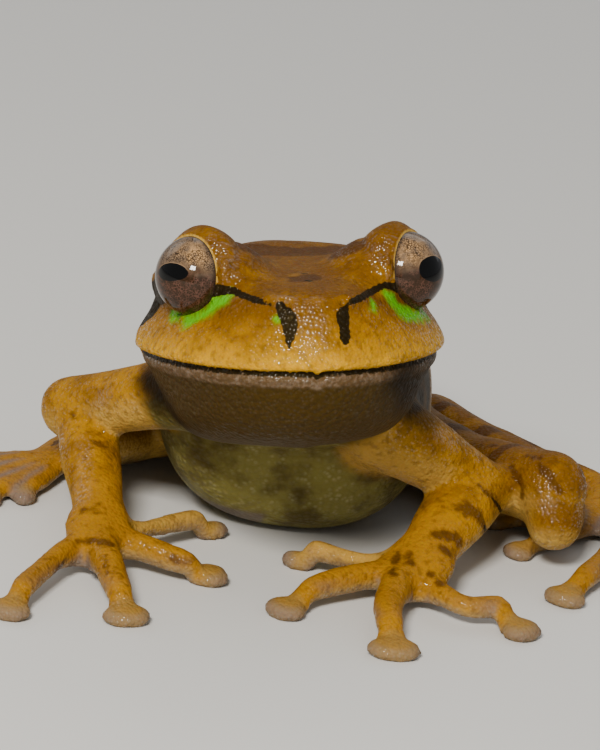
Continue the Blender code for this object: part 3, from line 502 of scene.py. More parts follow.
def relaxed(points, pairs, weight, rounds, back=0.0):
    # each point moves towards the mean of its neighbours, and back again by a little more to keep the volume
    count = len(points)
    a, b = pairs.T
    near = (np.bincount(a, minlength=count) + np.bincount(b, minlength=count))[:, None]
    for step in np.tile([1.0, -back] if back else [1.0], rounds):
        total = np.stack([np.bincount(a, points[b, k], count) + np.bincount(b, points[a, k], count)
                          for k in range(3)], 1)
        points = points + weight[:, None] * step * (total / near - points)
    return points


def normalsOf(points, quads):
    face = np.cross(points[quads[:, 2]] - points[quads[:, 0]], points[quads[:, 3]] - points[quads[:, 1]])
    count = len(points)
    return unit(np.stack([sum(np.bincount(quads[:, k], face[:, axis], count) for k in range(4))
                          for axis in range(3)], 1))


def lineField(points, stations):
    # distance to a line of stations (x, y, z, radius) less the radius there, and the share along it
    stations = np.asarray(stations, float)
    best = np.full(len(points), 1e9)
    share = np.zeros(len(points))
    for i, (a, b) in enumerate(zip(stations[:-1], stations[1:])):
        step = b[:3] - a[:3]
        t = np.clip((points - a[:3]) @ step / max(step @ step, 1e-9), 0, 1)
        gap = np.linalg.norm(points - a[:3] - t[:, None] * step, axis=1) - (a[3] + (b[3] - a[3]) * t)
        share = np.where(gap < best, (i + t) / (len(stations) - 1), share)
        best = np.minimum(gap, best)
    return best, share


# Camera: level ray through the aim, then the roll; pixels are those of the photo.
up = np.radians(camera["elevation"])
forward = np.array([0, np.cos(up), -np.sin(up)])
level, rise = np.array([1.0, 0, 0]), np.array([0, np.sin(up), np.cos(up)])
roll = np.radians(camera["roll"])
cameraRight = level * np.cos(roll) + rise * np.sin(roll)
cameraUp = rise * np.cos(roll) - level * np.sin(roll)
cameraAt = camera["aim"] * rise - camera["distance"] * forward


def pixelRay(x, y):
    pixel = camera["pixel"] / camera["distance"]
    return unit(forward + cameraRight * (x - camera["wide"] / 2) * pixel
                + cameraUp * (camera["high"] / 2 - y) * pixel)


def onSkin(tree, marks):
    # marks drawn as pixels (x, y, half width) of the photo, laid on the skin that the camera sees there
    laid = []
    for x, y, half in marks:
        spot = tree.ray_cast(Vector(cameraAt), Vector(pixelRay(x, y)))[0]
        if spot is not None:
            laid.append([*spot, half * camera["pixel"]])
    return np.array(laid)


mouth = {
    "front": -8.3, "zFront": -6.6, "zBack": -5.85, "corner": 6.9, "depth": 0.34, "width": 0.2,
    "notch": 0.22, "widest": 12.6,
    "lips": ((0.16, 0.55, 0.35), (0.1, -0.75, 0.35)),     # how far each swells, its height and its width
}
nostril = {"at": (2.1, -7.75, -1.5), "radius": 0.3, "depth": 0.4, "rim": (0.13, 0.6, 0.25)}
drum = {"at": (11.0, 6.4, -1.6), "radius": 1.45, "rise": 0.16, "rimWidth": 0.28, "sunk": 0.1}
# The skin is evened all over, then at joints, neck and lens edges, and for longest round the brows.
evening = {"share": 0.5, "rounds": 6, "back": 1.04}
jointBlend = {"radius": 3.6, "rounds": 26, "share": 0.6, "neckShare": 0.5, "lensShare": 0.5, "lensWidth": 1.3,
              "full": 1.2}                    # the height over the floor from which it is relaxed in full
browBlend = {"share": 0.6, "rounds": 110}
flatBelow = 0.06                              # skin that lies lower than this goes down to the floor


def mouthHeight(local):
    # height over the line of the mouth, and how much the mouth is there at all
    share = (local[:, 1] - mouth["front"]) / (head["neckY"] - mouth["front"])
    height = local[:, 2] - mouth["zFront"] - (mouth["zBack"] - mouth["zFront"]) * share
    height = height + mouth["notch"] * bell(local[:, 0], 0.3)
    present = smoothStep(mouth["corner"] + 0.6, mouth["corner"] - 0.8, local[:, 1])
    return height, present * (np.abs(local[:, 0]) < mouth["widest"]) * (local[:, 1] > -10.5)


def fitLids(points):
    # skin near the eyes goes to its exact distance from the eye's middle
    local = toHead(points)
    for side in (1, -1):
        away, reach, theta = aroundEye(local, side)
        wanted = browRadius(theta)
        beyond = theta - eye["opening"]
        weight = smoothStep(0.45, 0.15, np.abs(reach - wanted)) * smoothStep(75, 50, beyond)
        weight = np.where((beyond < 8) & (reach < eye["radius"] + 0.5), 1.0, weight)
        local = local + away / reach[:, None] * ((wanted - reach) * weight)[:, None]
    return fromHead(local)


def carveHead(points, out):
    # mouth, lips, nostrils and ear drum as moves along the way out of the skin
    local = toHead(points)
    height, present = mouthHeight(local)
    lips = sum(swell * bell(height - at, wide) for swell, at, wide in mouth["lips"])
    move = present * (lips - mouth["depth"] * bell(height, mouth["width"]))
    swell, at, wide = nostril["rim"]
    for side in (1, -1):
        flip = np.array([side, 1, 1])
        gap = np.linalg.norm(local - flip * nostril["at"], axis=1)
        move += swell * bell(gap - at, wide) - nostril["depth"] * bell(gap, nostril["radius"])
        gap = np.linalg.norm(local - flip * drum["at"], axis=1)
        rim = drum["rise"] * bell(gap - drum["radius"], drum["rimWidth"])
        move += rim - drum["sunk"] * (gap < drum["radius"])
    return points + out * move[:, None]


def layFlat(points):
    points[:, 2] = np.where(points[:, 2] < flatBelow, 0.0, points[:, 2])
    return points


def jointWeights(points):
    # how far each point is relaxed: most at the joints, round the neck and where the faces' size changes
    local = toHead(points)
    rows = [row for side in ("left", "right") for row in (*limbs[side].values(), *digits[side].values())]
    near = np.min([np.linalg.norm(points - row[0][:3], axis=1) for row in rows], axis=0)
    low = np.clip(points[:, 2] / jointBlend["full"], 0, 1)
    weight = jointBlend["share"] * bell(near, jointBlend["radius"]) * low
    neck = np.linalg.norm(local - [0, head["neckY"], -5], axis=1)
    collar = smoothStep(4.0, 1.0, np.abs(local[:, 1] - head["neckY"] - 1.5)) * (neck < 16)
    weight = np.maximum(weight, jointBlend["neckShare"] * collar)
    fine, coarse = lenses
    for spots, lens, edge in ((points, fine, fine["radius"]),
                              (magnify(points), coarse, coarse["radius"] * coarse["power"])):
        gap = np.linalg.norm(spots - lens["at"], axis=1) - edge
        weight = np.maximum(weight, jointBlend["lensShare"] * bell(gap, jointBlend["lensWidth"]) * low)
    return weight


def skinShape():
    points, quads = largest(*joined(allForms()))
    out = normalsOf(points, quads)
    if (out * (points - points.mean(0))).sum() < 0:
        quads = quads[:, ::-1]
    pairs = edgesOf(quads)
    evenly = np.full(len(points), evening["share"])
    points = relaxed(points, pairs, evenly, evening["rounds"], evening["back"])
    points = relaxed(points, pairs, jointWeights(points), jointBlend["rounds"])
    points = fitLids(softBrows(points, pairs))
    points = carveHead(points, normalsOf(points, quads))
    return layFlat(points), quads


# Marks as lines over the skin that the camera sees, in the photo's pixels: x, y and half width.
marks = {
    "dark": (
        # the mask from each eye to its nostril, and the streak down from there
        ((212, 291, 6.5), (219, 290.5, 6), (232, 290.5, 4), (244, 295.6, 3.8), (256.5, 299.7, 3.3),
         (271, 304.8, 1)),
        ((281, 307, 6), (288, 318, 8), (290, 330, 7), (289, 342, 3.2), (289, 348, 0.8)),
        ((397, 288, 5), (384, 285.6, 3.5), (373, 290.5, 4), (360.6, 297.7, 3.8), (350.4, 302.8, 2.5),
         (345, 307, 2.2)),
        ((346, 307, 3), (343, 316, 7), (344, 326, 5.6), (345, 335, 6), (346, 341, 4)),
        # dots on the crown, a line and a dot on the left forearm
        ((303, 273.8, 2.2), (306, 273.8, 2.2)), ((306, 280.4, 2.8), (310, 281, 2.8)),
        ((492, 498, 1.6), (498, 506, 2.4), (503, 515, 1.8)), ((484, 525, 2.2), (485.5, 531, 2.2)),
    ),
    "brown": (
        # oval on the crown and the bar between the brows
        ((300, 279, 12), (305, 278.4, 13.5), (310, 277.8, 12)),
        ((242, 246, 12), (256, 249, 17), (275, 251, 20), (307, 252, 21), (335, 250, 19), (356, 246, 12)),
        # left forearm, wrist and fingers
        ((478, 486, 4), (488, 493, 5), (497, 504, 4.5)), ((458, 508, 5), (471, 511, 9), (482, 520, 6)),
        ((484, 528, 5), (486, 532, 4.5)), ((432, 533, 5), (446, 536, 7), (459, 541, 6)),
        ((443, 550, 7), (450, 555, 6)), ((409, 553, 4), (411, 563, 4)), ((398, 553, 3.5), (392, 574, 4)),
        ((432, 574, 4.5), (442, 586, 4)),
        # right wrist, fingers and forearm
        ((79, 541, 3.5), (96, 540, 5), (112, 545, 4)), ((105, 556, 4), (108, 572, 4)),
        ((66, 560, 3.5), (54, 574, 4)), ((172, 557, 4), (186, 563, 3.5)), ((92, 440, 3.5), (104, 446, 4)),
        ((84, 509, 3.6), (97, 512, 4.2)), ((71, 413, 4), (76, 418, 3.4)), ((99, 503, 2), (100, 504, 1.8)),
        ((62, 474, 1.6), (66, 490, 2), (69, 512, 1.4)),
        # left knee and thigh
        ((524, 456, 2.6), (541, 457, 3.4)), ((540, 466, 4), (551, 477, 6), (560, 490, 4)),
        ((481, 446, 3.4), (496, 445.5, 3)), ((512, 468, 3), (520, 482, 4), (522, 496, 3)),
    ),
    "green": (
        ((172, 313, 5), (183, 316, 8.5), (196, 316, 9.5), (208, 309, 10), (218, 302, 8), (229, 298, 4.5)),
        ((388, 294, 5), (394, 302, 9), (401, 310, 10), (412, 315, 9), (425, 314, 6)),
        ((373, 303, 3), (374, 308, 3)), ((275, 318, 2.4), (276, 321, 2.6)),
    ),
    "gleam": (
        # wettest skin: inner side of the brows, snout, beside the right nostril and under the right eye
        ((214, 246, 12), (226, 258, 14), (230, 272, 10)), ((390, 246, 10), (380, 258, 13), (384, 270, 9)),
        ((312, 308, 12), (311, 326, 15), (313, 344, 12)), ((282, 300, 8), (293, 310, 8)),
        ((226, 297, 8), (236, 300, 8)),
        # elbow and forearm on the right, knee and upper arm on the left, one right finger
        ((106, 392, 8), (99, 410, 9)), ((88, 440, 8), (84, 470, 9), (80, 500, 8)),
        ((534, 482, 13), (540, 504, 13)), ((452, 448, 6), (440, 436, 6)), ((118, 604, 5), (132, 598, 5)),
    ),
    "paintedShadow": (
        # painted shadow, nearly black, behind the jaw on both sides and under the right arm
        ((146, 376, 16), (158, 390, 22), (170, 408, 20)),
        ((400, 380, 20), (414, 390, 26), (422, 401, 20), (408, 412, 12)),
        ((424, 374, 16), (428, 387, 26), (428, 401, 24)), ((128, 462, 12), (158, 463, 14)),
    ),
}
# The mask goes on behind each eye: x, y, z and radius in the head's frame.
maskBehind = ((10.2, 1.8, -1.0, 1.0), (11.3, 4.8, -1.9, 1.5), (11.6, 8.5, -3.0, 1.9), (11.6, 11.5, -4.9, 1.8),
              (11.4, 15.0, -6.9, 0.9))
# Bars over the hind legs, each where its length has this share, and how wide it is.
legBars = {"thigh": ((0.22, 1.1), (0.5, 1.0), (0.78, 0.8)),
           "shank": ((0.2, 0.7), (0.45, 0.8), (0.7, 0.8), (0.9, 0.7)), "tarsus": ((0.3, 0.6), (0.62, 0.6))}
shoulderSkip = {"left": 1, "right": 5}          # steps of an upper arm's path that keep the chest's colour
far = 4.0                                       # a field's value where none of its marks is near
leap = 2.5                                      # two spots of a line further apart than this aren't joined
barReach = 1.2                                  # how far out from its limb's stations a bar still shows


def nearest(points, best, stations):
    # the field of a line only where it can matter; far from it the field so far is kept
    stations = np.asarray(stations, float)
    low = stations[:, :3].min(0) - far
    high = stations[:, :3].max(0) + far
    near = ((points > low) & (points < high)).all(1)
    best[near] = np.minimum(best[near], lineField(points[near], stations)[0])
    return best


def markField(points, tree, lines):
    # distance in mm to a mark's lines; where a line leaps to skin further off it is parted
    best = np.full(len(points), far)
    for line in lines:
        laid = onSkin(tree, smoothPath(line, 6 if len(line) > 2 else 4))
        if len(laid) > 1:
            leaps = np.where(np.linalg.norm(np.diff(laid[:, :3], axis=0), axis=1) > leap)[0] + 1
            for part in np.split(laid, leaps):
                best = nearest(points, best, part) if len(part) > 1 else best
    return best


def barField(points):
    # cross bars of the hind legs: how far a point is from a bar, measured along the limb, on its upper side
    best = np.full(len(points), far)
    for side in ("left", "right"):
        for name, bars in legBars.items():
            path = smoothPath(limbs[side][name], 6)
            gap, share = lineField(points, path[:, :4])
            length = np.linalg.norm(np.diff(path[:, :3], axis=0), axis=1).sum()
            for at, half in bars:
                along = np.abs(share - at) * length - half
                best = np.minimum(best, np.where(gap < barReach, along, far))
    return best


def partField(points, names, table):
    # distance to the parts of these names, as tubes along their stations; a digit's ends in its pad
    best = np.full(len(points), far)
    for side in ("left", "right"):
        for name, rows in table[side].items():
            if name.startswith(names):
                if table is digits:
                    x, y, wide, _ = rows[-1]
                    rows = (*rows[:-1], (x, y, pad["middleZ"], 0.75 * wide))
                path = smoothPath([r[:4] for r in rows], 4)
                best = nearest(points, best, path[shoulderSkip[side] if name == "upper_arm" else 0:])
    return best


def padField(points):
    # distance to the pads, each a ball that is cut off behind by a plane square to the digit
    best = np.full(len(points), far)
    for rows in (*digits["left"].values(), *digits["right"].values()):
        x, y, wide, long = rows[-1]
        away = points - [x, y, pad["middleZ"]]
        ahead = unit((np.array([x, y, 0]) - rows[-2][:3]) * [1, 1, 0])
        best = np.minimum(best, np.maximum(np.linalg.norm(away, axis=1) - wide, -away @ ahead - 0.45 * long))
    return best


def lidField(local):
    # distance along the eye outside its opening's rim, made larger below the eye, where the pale line fades
    best = np.full(len(local), far)
    for side in (1, -1):
        away, reach, theta = aroundEye(local, side)
        faded = np.radians(theta - eye["opening"]) * eye["radius"] + smoothStep(-0.2, -1.6, away[:, 2])
        best = np.where(reach < eye["radius"] + 0.35, faded, best)
    return best


def skinFields(points, quads):
    # the skin's attributes: distances to marks in mm, and shares from 0 to 1 of its regions
    facing = normalsOf(points, quads)[:, 2]      # from -1, downwards, to 1, upwards
    tree = treeOf(points, quads)
    local = toHead(points)
    height, present = mouthHeight(local)

    fields = {name: markField(points, tree, lines) for name, lines in marks.items()}
    for side in (1, -1):
        mask = np.array(maskBehind) * [side, 1, 1, 1]
        mask[:, :3] = fromHead(mask[:, :3])
        fields["dark"] = nearest(points, fields["dark"], smoothPath(mask, 4))
    inMouth = np.where(present > 0.4, np.abs(height + 0.03) - 0.19, far)
    fields["dark"] = np.minimum(fields["dark"], inMouth)
    fields["brown"] = np.minimum(fields["brown"], np.where(facing > -0.25, barField(points), far))
    fields["lip"] = height + (1 - present) * 9 * np.sign(height)
    fields["lid"] = lidField(local)

    hind = partField(points, ("thigh", "shank", "tarsus"), limbs)
    arms = np.minimum(partField(points, ("upper_arm", "forearm"), limbs), hind)
    soles = partField(points, ("hand", "foot"), limbs)
    rays = partField(points, ("finger", "toe"), digits)
    pads = padField(points)
    limb = smoothStep(1.5, 0.2, np.minimum(np.minimum(arms, soles), rays))
    throat = (smoothStep(-0.4, -0.9, height + 0.8 * np.maximum(local[:, 1] - 6, 0))
              * smoothStep(17, 12, local[:, 1]) * (np.abs(local[:, 0]) < mouth["widest"]) * (1 - limb))
    under = (np.maximum(smoothStep(0.3, -0.25, facing), throat) * (1 - limb)
             * smoothStep(17.5, 13.0, points[:, 2] - 9 * throat))
    digit = smoothStep(1.0, 0.0, np.minimum(soles, rays))
    thumbs = partField(points, ("finger_1",), digits)
    between = np.minimum(arms, np.minimum(soles + 0.25, rays))
    webby = smoothStep(-0.15, 0.2, between) * smoothStep(2.6, 1.9, points[:, 2]) * (rays < 3.9)
    below = np.maximum(smoothStep(0.3, -0.1, pads) * smoothStep(0.95, 0.35, points[:, 2]),
                       digit * smoothStep(0.1, -0.5, facing))
    # painted shade: the top of the head is darkened towards umber in patches
    crown = smoothStep(-4.6, -1.6, local[:, 2]) * smoothStep(15, 10, local[:, 1])
    return fields | {
        "under": under, "digit": digit, "pads": smoothStep(0.3, -0.3, pads),
        "cream": np.maximum(limb * smoothStep(0.3, -0.5, facing), 0.75 * smoothStep(0.7, 0.1, thumbs)),
        "webby": np.maximum(webby, 0.6 * below),
        # the same painted shade is laid over the hind legs
        "crown": np.maximum(crown, 0.9 * smoothStep(1.4, 0.2, hind)),
        "back": smoothStep(0.0, 0.6, facing) * smoothStep(9, 12, local[:, 1]) * (1 - limb),
        "wet": (1 - 0.8 * smoothStep(0.55, 0.9, facing)) * (1 - 0.75 * np.maximum(under, throat)),
    }


# Pupils: middle in the photo's pixels and half height; the half width is the same for both.
pupils = {"left": (434.5, 268.5, 0.96), "right": (170.5, 272, 0.67), "wide": 1.38}


def eyeShape(name, side, rings=84, sides=120):
    # sphere with its poles along the gaze; coordinates in the pupil's own frame go with it
    centre = fromHead(eyeMiddle(side))
    x, y, high = pupils[name]
    ray = pixelRay(x, y)
    away = cameraAt - centre
    b = away @ ray
    gaze = unit(away + ray * (-b - np.sqrt(b * b - away @ away + eye["radius"] ** 2)))
    up = headTurn @ [0, 0, 1]
    across = unit(np.cross(up, gaze))
    rise = np.cross(gaze, across)
    flat, faces = shell(ballGrid(rings, sides), np.array([0, 0, 1.0]), np.array([0, 0, -1.0]))
    points = centre + eye["radius"] * (flat @ np.array([across, rise, gaze]))
    opening = unit(fromHead(eyeMiddle(side) + eyeAxis(side)) - centre)
    rim = np.degrees(np.arccos(np.clip((points - centre) @ opening / eye["radius"], -1, 1)))
    scale = eye["radius"] / np.array([pupils["wide"], high, eye["radius"]])
    copper = bell(np.linalg.norm(flat - unit(np.array([-0.46 * side, 0.49, 0.74])), axis=1), 0.36)
    return points, faces[:, ::-1], {"pupilSpace": flat * scale, "gaze": flat, "rim": rim, "copper": copper}


def softBrows(points, pairs):
    # the skin just outside each brow is relaxed for long, so that brow, crown and snout flow together
    local = toHead(points)
    weight = np.zeros(len(points))
    for side in (1, -1):
        over = aroundEye(local, side)[1] - eye["radius"]
        ring = smoothStep(0.85, 1.3, over) * smoothStep(5.0, 2.6, over)
        weight = np.maximum(weight, browBlend["share"] * ring * smoothStep(-2.6, -1.2, local[:, 2]))
    nape = smoothStep(4.5, 1.5, np.abs(local[:, 1] - 11.5)) * smoothStep(-6, -3, local[:, 2])
    weight = np.maximum(weight, browBlend["share"] * nape)
    near = pairs[(weight[pairs] > 0).any(1)]
    inside = np.zeros(len(points), bool)
    inside[near.ravel()] = True
    order = np.cumsum(inside) - 1
    part = relaxed(points[inside], order[near], weight[inside], browBlend["rounds"])
    points = points.copy()
    points[inside] = part
    return points


def toMesh(name, points, faces, fields):
    mesh = bpy.data.meshes.new(name)
    mesh.from_pydata(((points - middle) * mm).tolist(), [], faces.tolist())
    for field, values in fields.items():
        kind = "FLOAT_VECTOR" if values.ndim == 2 else "FLOAT"
        layer = mesh.attributes.new(field, kind, "POINT")
        layer.data.foreach_set("vector" if values.ndim == 2 else "value", values.astype(np.float32).ravel())
    mesh.shade_smooth()
    return placed(name, mesh)


class Nodes:
    # short calls that add nodes to one tree, with all its patterns read at one spot
    def __init__(self, tree, spot=None):
        self.tree = tree
        self.spot = self.add("TexCoord").outputs["Object"] if spot is None else spot

    def link(self, value, socket):
        if isinstance(value, bpy.types.NodeSocket):
            self.tree.links.new(value, socket)
        else:
            socket.default_value = value

    def add(self, kind, inputs=None, **settings):
        made = self.tree.nodes.new("ShaderNode" + kind)
        for name, value in settings.items():
            setattr(made, name, value)
        for key, value in (inputs or {}).items():
            self.link(value, made.inputs[key])
        return made

    def calc(self, operation, *values):
        return self.add("Math", dict(enumerate(values)), operation=operation).outputs[0]

    def times(self, a, b):
        return self.calc("MULTIPLY", a, b)

    def vector(self, operation, *values):
        return self.add("VectorMath", dict(enumerate(values)), operation=operation).outputs

    def ramp(self, value, low, high, start=0.0, end=1.0):
        return self.add("MapRange", {0: value, 1: low, 2: high, 3: start, 4: end},
                        interpolation_type="SMOOTHSTEP").outputs[0]

    def field(self, name, output="Fac"):
        return self.add("Attribute", attribute_name=name).outputs[output]

    def noise(self, scale, detail=2.0, output=0):
        return self.add("TexNoise", {"Vector": self.spot, "Scale": scale, "Detail": detail}).outputs[output]

    def patches(self, name):
        scale, detail, *levels = patchy[name]
        return self.ramp(self.noise(scale, detail), *levels)

    def cells(self, scale):
        return self.add("TexVoronoi", {"Vector": self.spot, "Scale": scale}).outputs["Distance"]

    def layered(self, base, *layers):
        # each layer is a share and a colour laid over what is there so far
        for share, colour in layers:
            base = self.add("Mix", {0: share, 6: base, 7: colour}, data_type="RGBA").outputs[2]
        return base


def makeGroup(name, inputs, output):
    tree = bpy.data.node_groups.new(name, "ShaderNodeTree")
    for way, sockets in (("INPUT", inputs), ("OUTPUT", {output: "Float"})):
        for socket, kind in sockets.items():
            tree.interface.new_socket(name=socket, in_out=way, socket_type="NodeSocket" + kind)
    given = tree.nodes.new("NodeGroupInput").outputs
    return Nodes(tree, given["Spot"]), given, tree.nodes.new("NodeGroupOutput").inputs[output]


def edgeGroup():
    # signed distance in mm to a mask, its edge moved to and fro by noise
    kinds = {"Spot": "Vector", "Field": "Float", "Jitter": "Float", "Soft": "Float", "Scale": "Float"}
    n, given, mask = makeGroup("markEdge", kinds, "Mask")
    rough = n.calc("SUBTRACT", n.noise(given["Scale"], 3.0), 0.5)
    moved = n.calc("MULTIPLY_ADD", rough, given["Jitter"], given["Field"])
    n.link(n.ramp(n.calc("DIVIDE", moved, given["Soft"]), 0.5, -0.5), mask)
    return n.tree


def grainGroup():
    # wet granules of the skin: fine on the back and limbs, coarse and rounded below
    n, given, height = makeGroup("grain", {"Spot": "Vector", "Under": "Float"}, "Height")
    fine = n.calc("MULTIPLY_ADD", n.calc("POWER", n.cells(grain["fine"]), 2.0), -1.1,
                  n.times(n.noise(2600, 3.0), 0.2))
    coarse = n.times(n.cells(grain["coarse"]), -1.9)
    mixed = n.add("Mix", {0: given["Under"], 2: fine, 3: coarse}).outputs[0]
    n.link(n.calc("MULTIPLY_ADD", n.noise(600), 1.2, mixed), height)
    return n.tree


def newPaint(name, values):
    paint = bpy.data.materials.new(name)
    paint.use_nodes = True
    sockets = paint.node_tree.nodes["Principled BSDF"].inputs
    for socket, value in values.items():
        sockets[socket].default_value = value
    return paint, sockets


colours = {
    "umber": (0.12, 0.046, 0.0006, 1), "gold": (0.31, 0.14, 0.001, 1), "lip": (0.52, 0.26, 0.004, 1),
    "back": (0.12, 0.045, 0.001, 1), "digit": (0.28, 0.125, 0.006, 1), "cream": (0.42, 0.25, 0.05, 1),
    # the throat's colour is its own olive-brown darkened by painted shadow of the head
    "throat": (0.038, 0.021, 0.004, 1), "belly": (0.2, 0.172, 0.042, 1), "bellyGlint": (0.3, 0.27, 0.11, 1),
    "green": (0.075, 0.36, 0.001, 1), "brown": (0.05, 0.016, 0.001, 1), "dark": (0.01, 0.006, 0.002, 1),
    "lowerLip": (0.075, 0.043, 0.018, 1), "lipGlint": (0.13, 0.088, 0.055, 1), "pad": (0.25, 0.15, 0.04, 1),
    # the last colour on the next line is painted shadow, nearly black
    "web": (0.14, 0.105, 0.09, 1), "lid": (0.6, 0.36, 0.06, 1), "paintedShadow": (0.004, 0.002, 0.001, 1),
}
skinShine = {
    "Specular IOR Level": 0.1, "Specular Tint": (1.0, 0.72, 0.25, 1), "Coat Roughness": 0.06, "Coat IOR": 1.6,
    "Subsurface Weight": 0.08, "Subsurface Scale": 0.0006,
}
# Patches of noise: scale, detail, the levels it is pressed between and, if not 0 and 1, the shares there.
patchy = {
    "granuleGlint": (700, 3.0, 0.35, 0.65), "throat": (330, 4.0, 0.4, 0.66, 0.0, 0.75),
    "lipGlint": (2800, 4.0, 0.42, 0.7), "umber": (420, 4.0, 0.4, 0.64), "brown": (1700, 5.0, 0.5, 0.68),
    "crown": (500, 3.0, 0.2, 0.6, 0.45, 1), "back": (230, 4.0, 0.4, 0.56, 0.35, 1),
    "lip": (900, 3.0, 0.3, 0.65, 0.55, 1), "copper": (1600, 4.0, 0.3, 0.6), "ember": (1900, 4.0, 0.35, 0.6),
    "vein": (1500, 3.0, 0.35, 0.62, 0.3, 0.95),
}
# How far noise moves a mark's edge and how soft it is, in mm, and the noise's scale.
markEdges = {"dark": (0.34, 0.09, 2600), "brown": (1.2, 0.45, 1100), "green": (1.5, 0.9, 1000),
             "paintedShadow": (1.5, 3.0, 500), "gleam": (1.6, 1.6, 700)}
# Cells to a metre, and the granules' height in metres under the wet film and on it.
grain = {"fine": 3400, "coarse": 2100, "Normal": 0.00006, "Coat Normal": 0.00012}


def skinPaint():
    paint, sockets = newPaint("skin", skinShine)
    n = Nodes(paint.node_tree)
    edge = edgeGroup()
    masks = {name: n.add("Group", {"Spot": n.spot, "Field": n.field(name), "Jitter": jitter, "Soft": soft,
                                   "Scale": scale}, node_tree=edge).outputs["Mask"]
             for name, (jitter, soft, scale) in markEdges.items()}
    # the third mask is painted shadow, nearly black
    dark, gleam, paintedShadow = masks["dark"], masks["gleam"], n.times(masks["paintedShadow"], 0.97)
    under, lip = n.field("under"), n.field("lip")

    # painted highlights: pale tops on the belly's coarse granules
    granules = n.times(n.ramp(n.cells(grain["coarse"]), 0.55, 0.1), n.patches("granuleGlint"))
    belly = n.layered(colours["belly"], (granules, colours["bellyGlint"]),
                      (n.patches("throat"), colours["throat"]),
                      # painted shadow of the head: towards the mouth the chest turns to the throat's dark
                      # colour
                      (n.ramp(lip, -22.0, -10.0), colours["throat"]))
    lipBand = n.times(n.ramp(lip, 2.6, 0.3), n.ramp(lip, 0.0, 0.2))
    lowerBand = n.times(n.ramp(lip, -1.25, -0.8), n.ramp(lip, 0.08, -0.04))
    lowerLip = n.layered(colours["lowerLip"], (n.patches("lipGlint"), colours["lipGlint"]))
    base = n.layered(
        colours["gold"],
        (n.times(n.patches("umber"), 0.6), colours["umber"]),
        # painted shade on the top of the head and on the hind legs
        (n.times(n.field("crown"), n.patches("crown")), colours["umber"]),
        (n.times(n.field("back"), n.patches("back")), colours["back"]),
        (n.times(n.field("digit"), 0.7), colours["digit"]),
        (n.times(lipBand, n.patches("lip")), colours["lip"]),
        (n.times(n.field("cream"), 0.85), colours["cream"]),
        (n.times(n.patches("brown"), 0.38), colours["brown"]),
        (n.times(masks["green"], 0.9), colours["green"]),
        (under, belly),
        (lowerBand, lowerLip),
        (n.times(masks["brown"], 0.8), colours["brown"]),
        # painted shadow behind the jaw and under the right arm
        (paintedShadow, colours["paintedShadow"]),
        (dark, colours["dark"]),
        (n.times(n.field("webby"), 0.85), colours["web"]),
        (n.times(n.field("pads"), 0.6), colours["pad"]),
        (n.times(n.ramp(n.field("lid"), 0.12, 0.0), 0.8), colours["lid"]),
    )
    n.link(base, sockets["Base Color"])
    n.link(n.ramp(gleam, 0.0, 1.0, 0.55, 0.36), sockets["Roughness"])

    beads = n.cells(grain["fine"])
    wet = n.times(n.ramp(beads, 0.45, 0.2, 0.04, 1.0), n.field("wet"))
    wet = n.calc("MAXIMUM", wet, n.times(gleam, n.ramp(beads, 0.75, 0.5, 0.1, 1.0)))
    wet = n.times(wet, n.ramp(dark, 0.0, 1.0, 1.0, 0.25))
    n.link(n.times(wet, n.ramp(paintedShadow, 0.0, 0.8, 1.0, 0.0)), sockets["Coat Weight"])
    height = n.add("Group", {"Spot": n.spot, "Under": under}, node_tree=grainGroup()).outputs["Height"]
    for socket in ("Normal", "Coat Normal"):
        bump = n.add("Bump", {"Strength": 1.0, "Distance": grain[socket], "Height": height})
        n.link(bump.outputs[0], sockets[socket])
    return paint


iris = {
    "silver": (0.15, 0.1, 0.062, 1), "copper": (0.42, 0.24, 0.1, 1), "ember": (0.085, 0.036, 0.022, 1),
    "ash": (0.022, 0.01, 0.003, 1), "vein": (0.01, 0.005, 0.002, 1), "rim": (0.3, 0.19, 0.1, 1),
    "edge": (0.012, 0.008, 0.006, 1), "pupil": (0.001, 0.001, 0.001, 1),
}
eyeShine = {"Roughness": 0.5, "Specular IOR Level": 0.0, "Coat Weight": 1.0, "Coat IOR": 1.33,
            "Coat Roughness": 0.03}


def eyePaint():
    # pale above and dark below the pupil, both netted with veins; the pupil's own space has its edge at 1
    paint, sockets = newPaint("iris", eyeShine)
    n = Nodes(paint.node_tree)
    flat = n.vector("MULTIPLY", n.field("pupilSpace", "Vector"), (1, 1, 0))[0]
    wobble = n.calc("SUBTRACT", n.noise(1400), 0.5)
    reach = n.calc("MULTIPLY_ADD", wobble, 0.12, n.vector("LENGTH", flat)["Value"])
    height = n.add("SeparateXYZ", {0: n.field("gaze", "Vector")}).outputs["Y"]
    shifted = n.calc("MULTIPLY_ADD", n.calc("SUBTRACT", n.noise(700, 4.0), 0.5), 0.7, height)
    half = n.ramp(shifted, -0.12, 0.3)
    bent = n.vector("MULTIPLY_ADD", n.noise(2500, output=1), (0.0004, 0.0004, 0.0004), n.spot)[0]
    net = n.add("TexVoronoi", {"Vector": bent, "Scale": 5600}, feature="DISTANCE_TO_EDGE").outputs["Distance"]
    upper = n.layered(iris["silver"], (n.times(n.field("copper"), n.patches("copper")), iris["copper"]))
    lower = n.layered(iris["ash"], (n.times(n.ramp(net, 0.16, 0.04), n.patches("ember")), iris["ember"]))
    veins = n.times(n.times(n.ramp(net, 0.2, 0.04), n.patches("vein")), half)
    base = n.layered(
        lower,
        (half, upper),
        (veins, iris["vein"]),
        (n.times(n.ramp(reach, 1.1, 1.03, 0.0, 0.6), n.ramp(height, 0.0, 0.2)), iris["rim"]),
        # painted shade on the eye where the lid's edge meets it
        (n.ramp(n.field("rim"), 68, 80), iris["edge"]),
        (n.ramp(reach, 1.03, 0.98), iris["pupil"]),
    )
    n.link(base, sockets["Base Color"])
    return paint


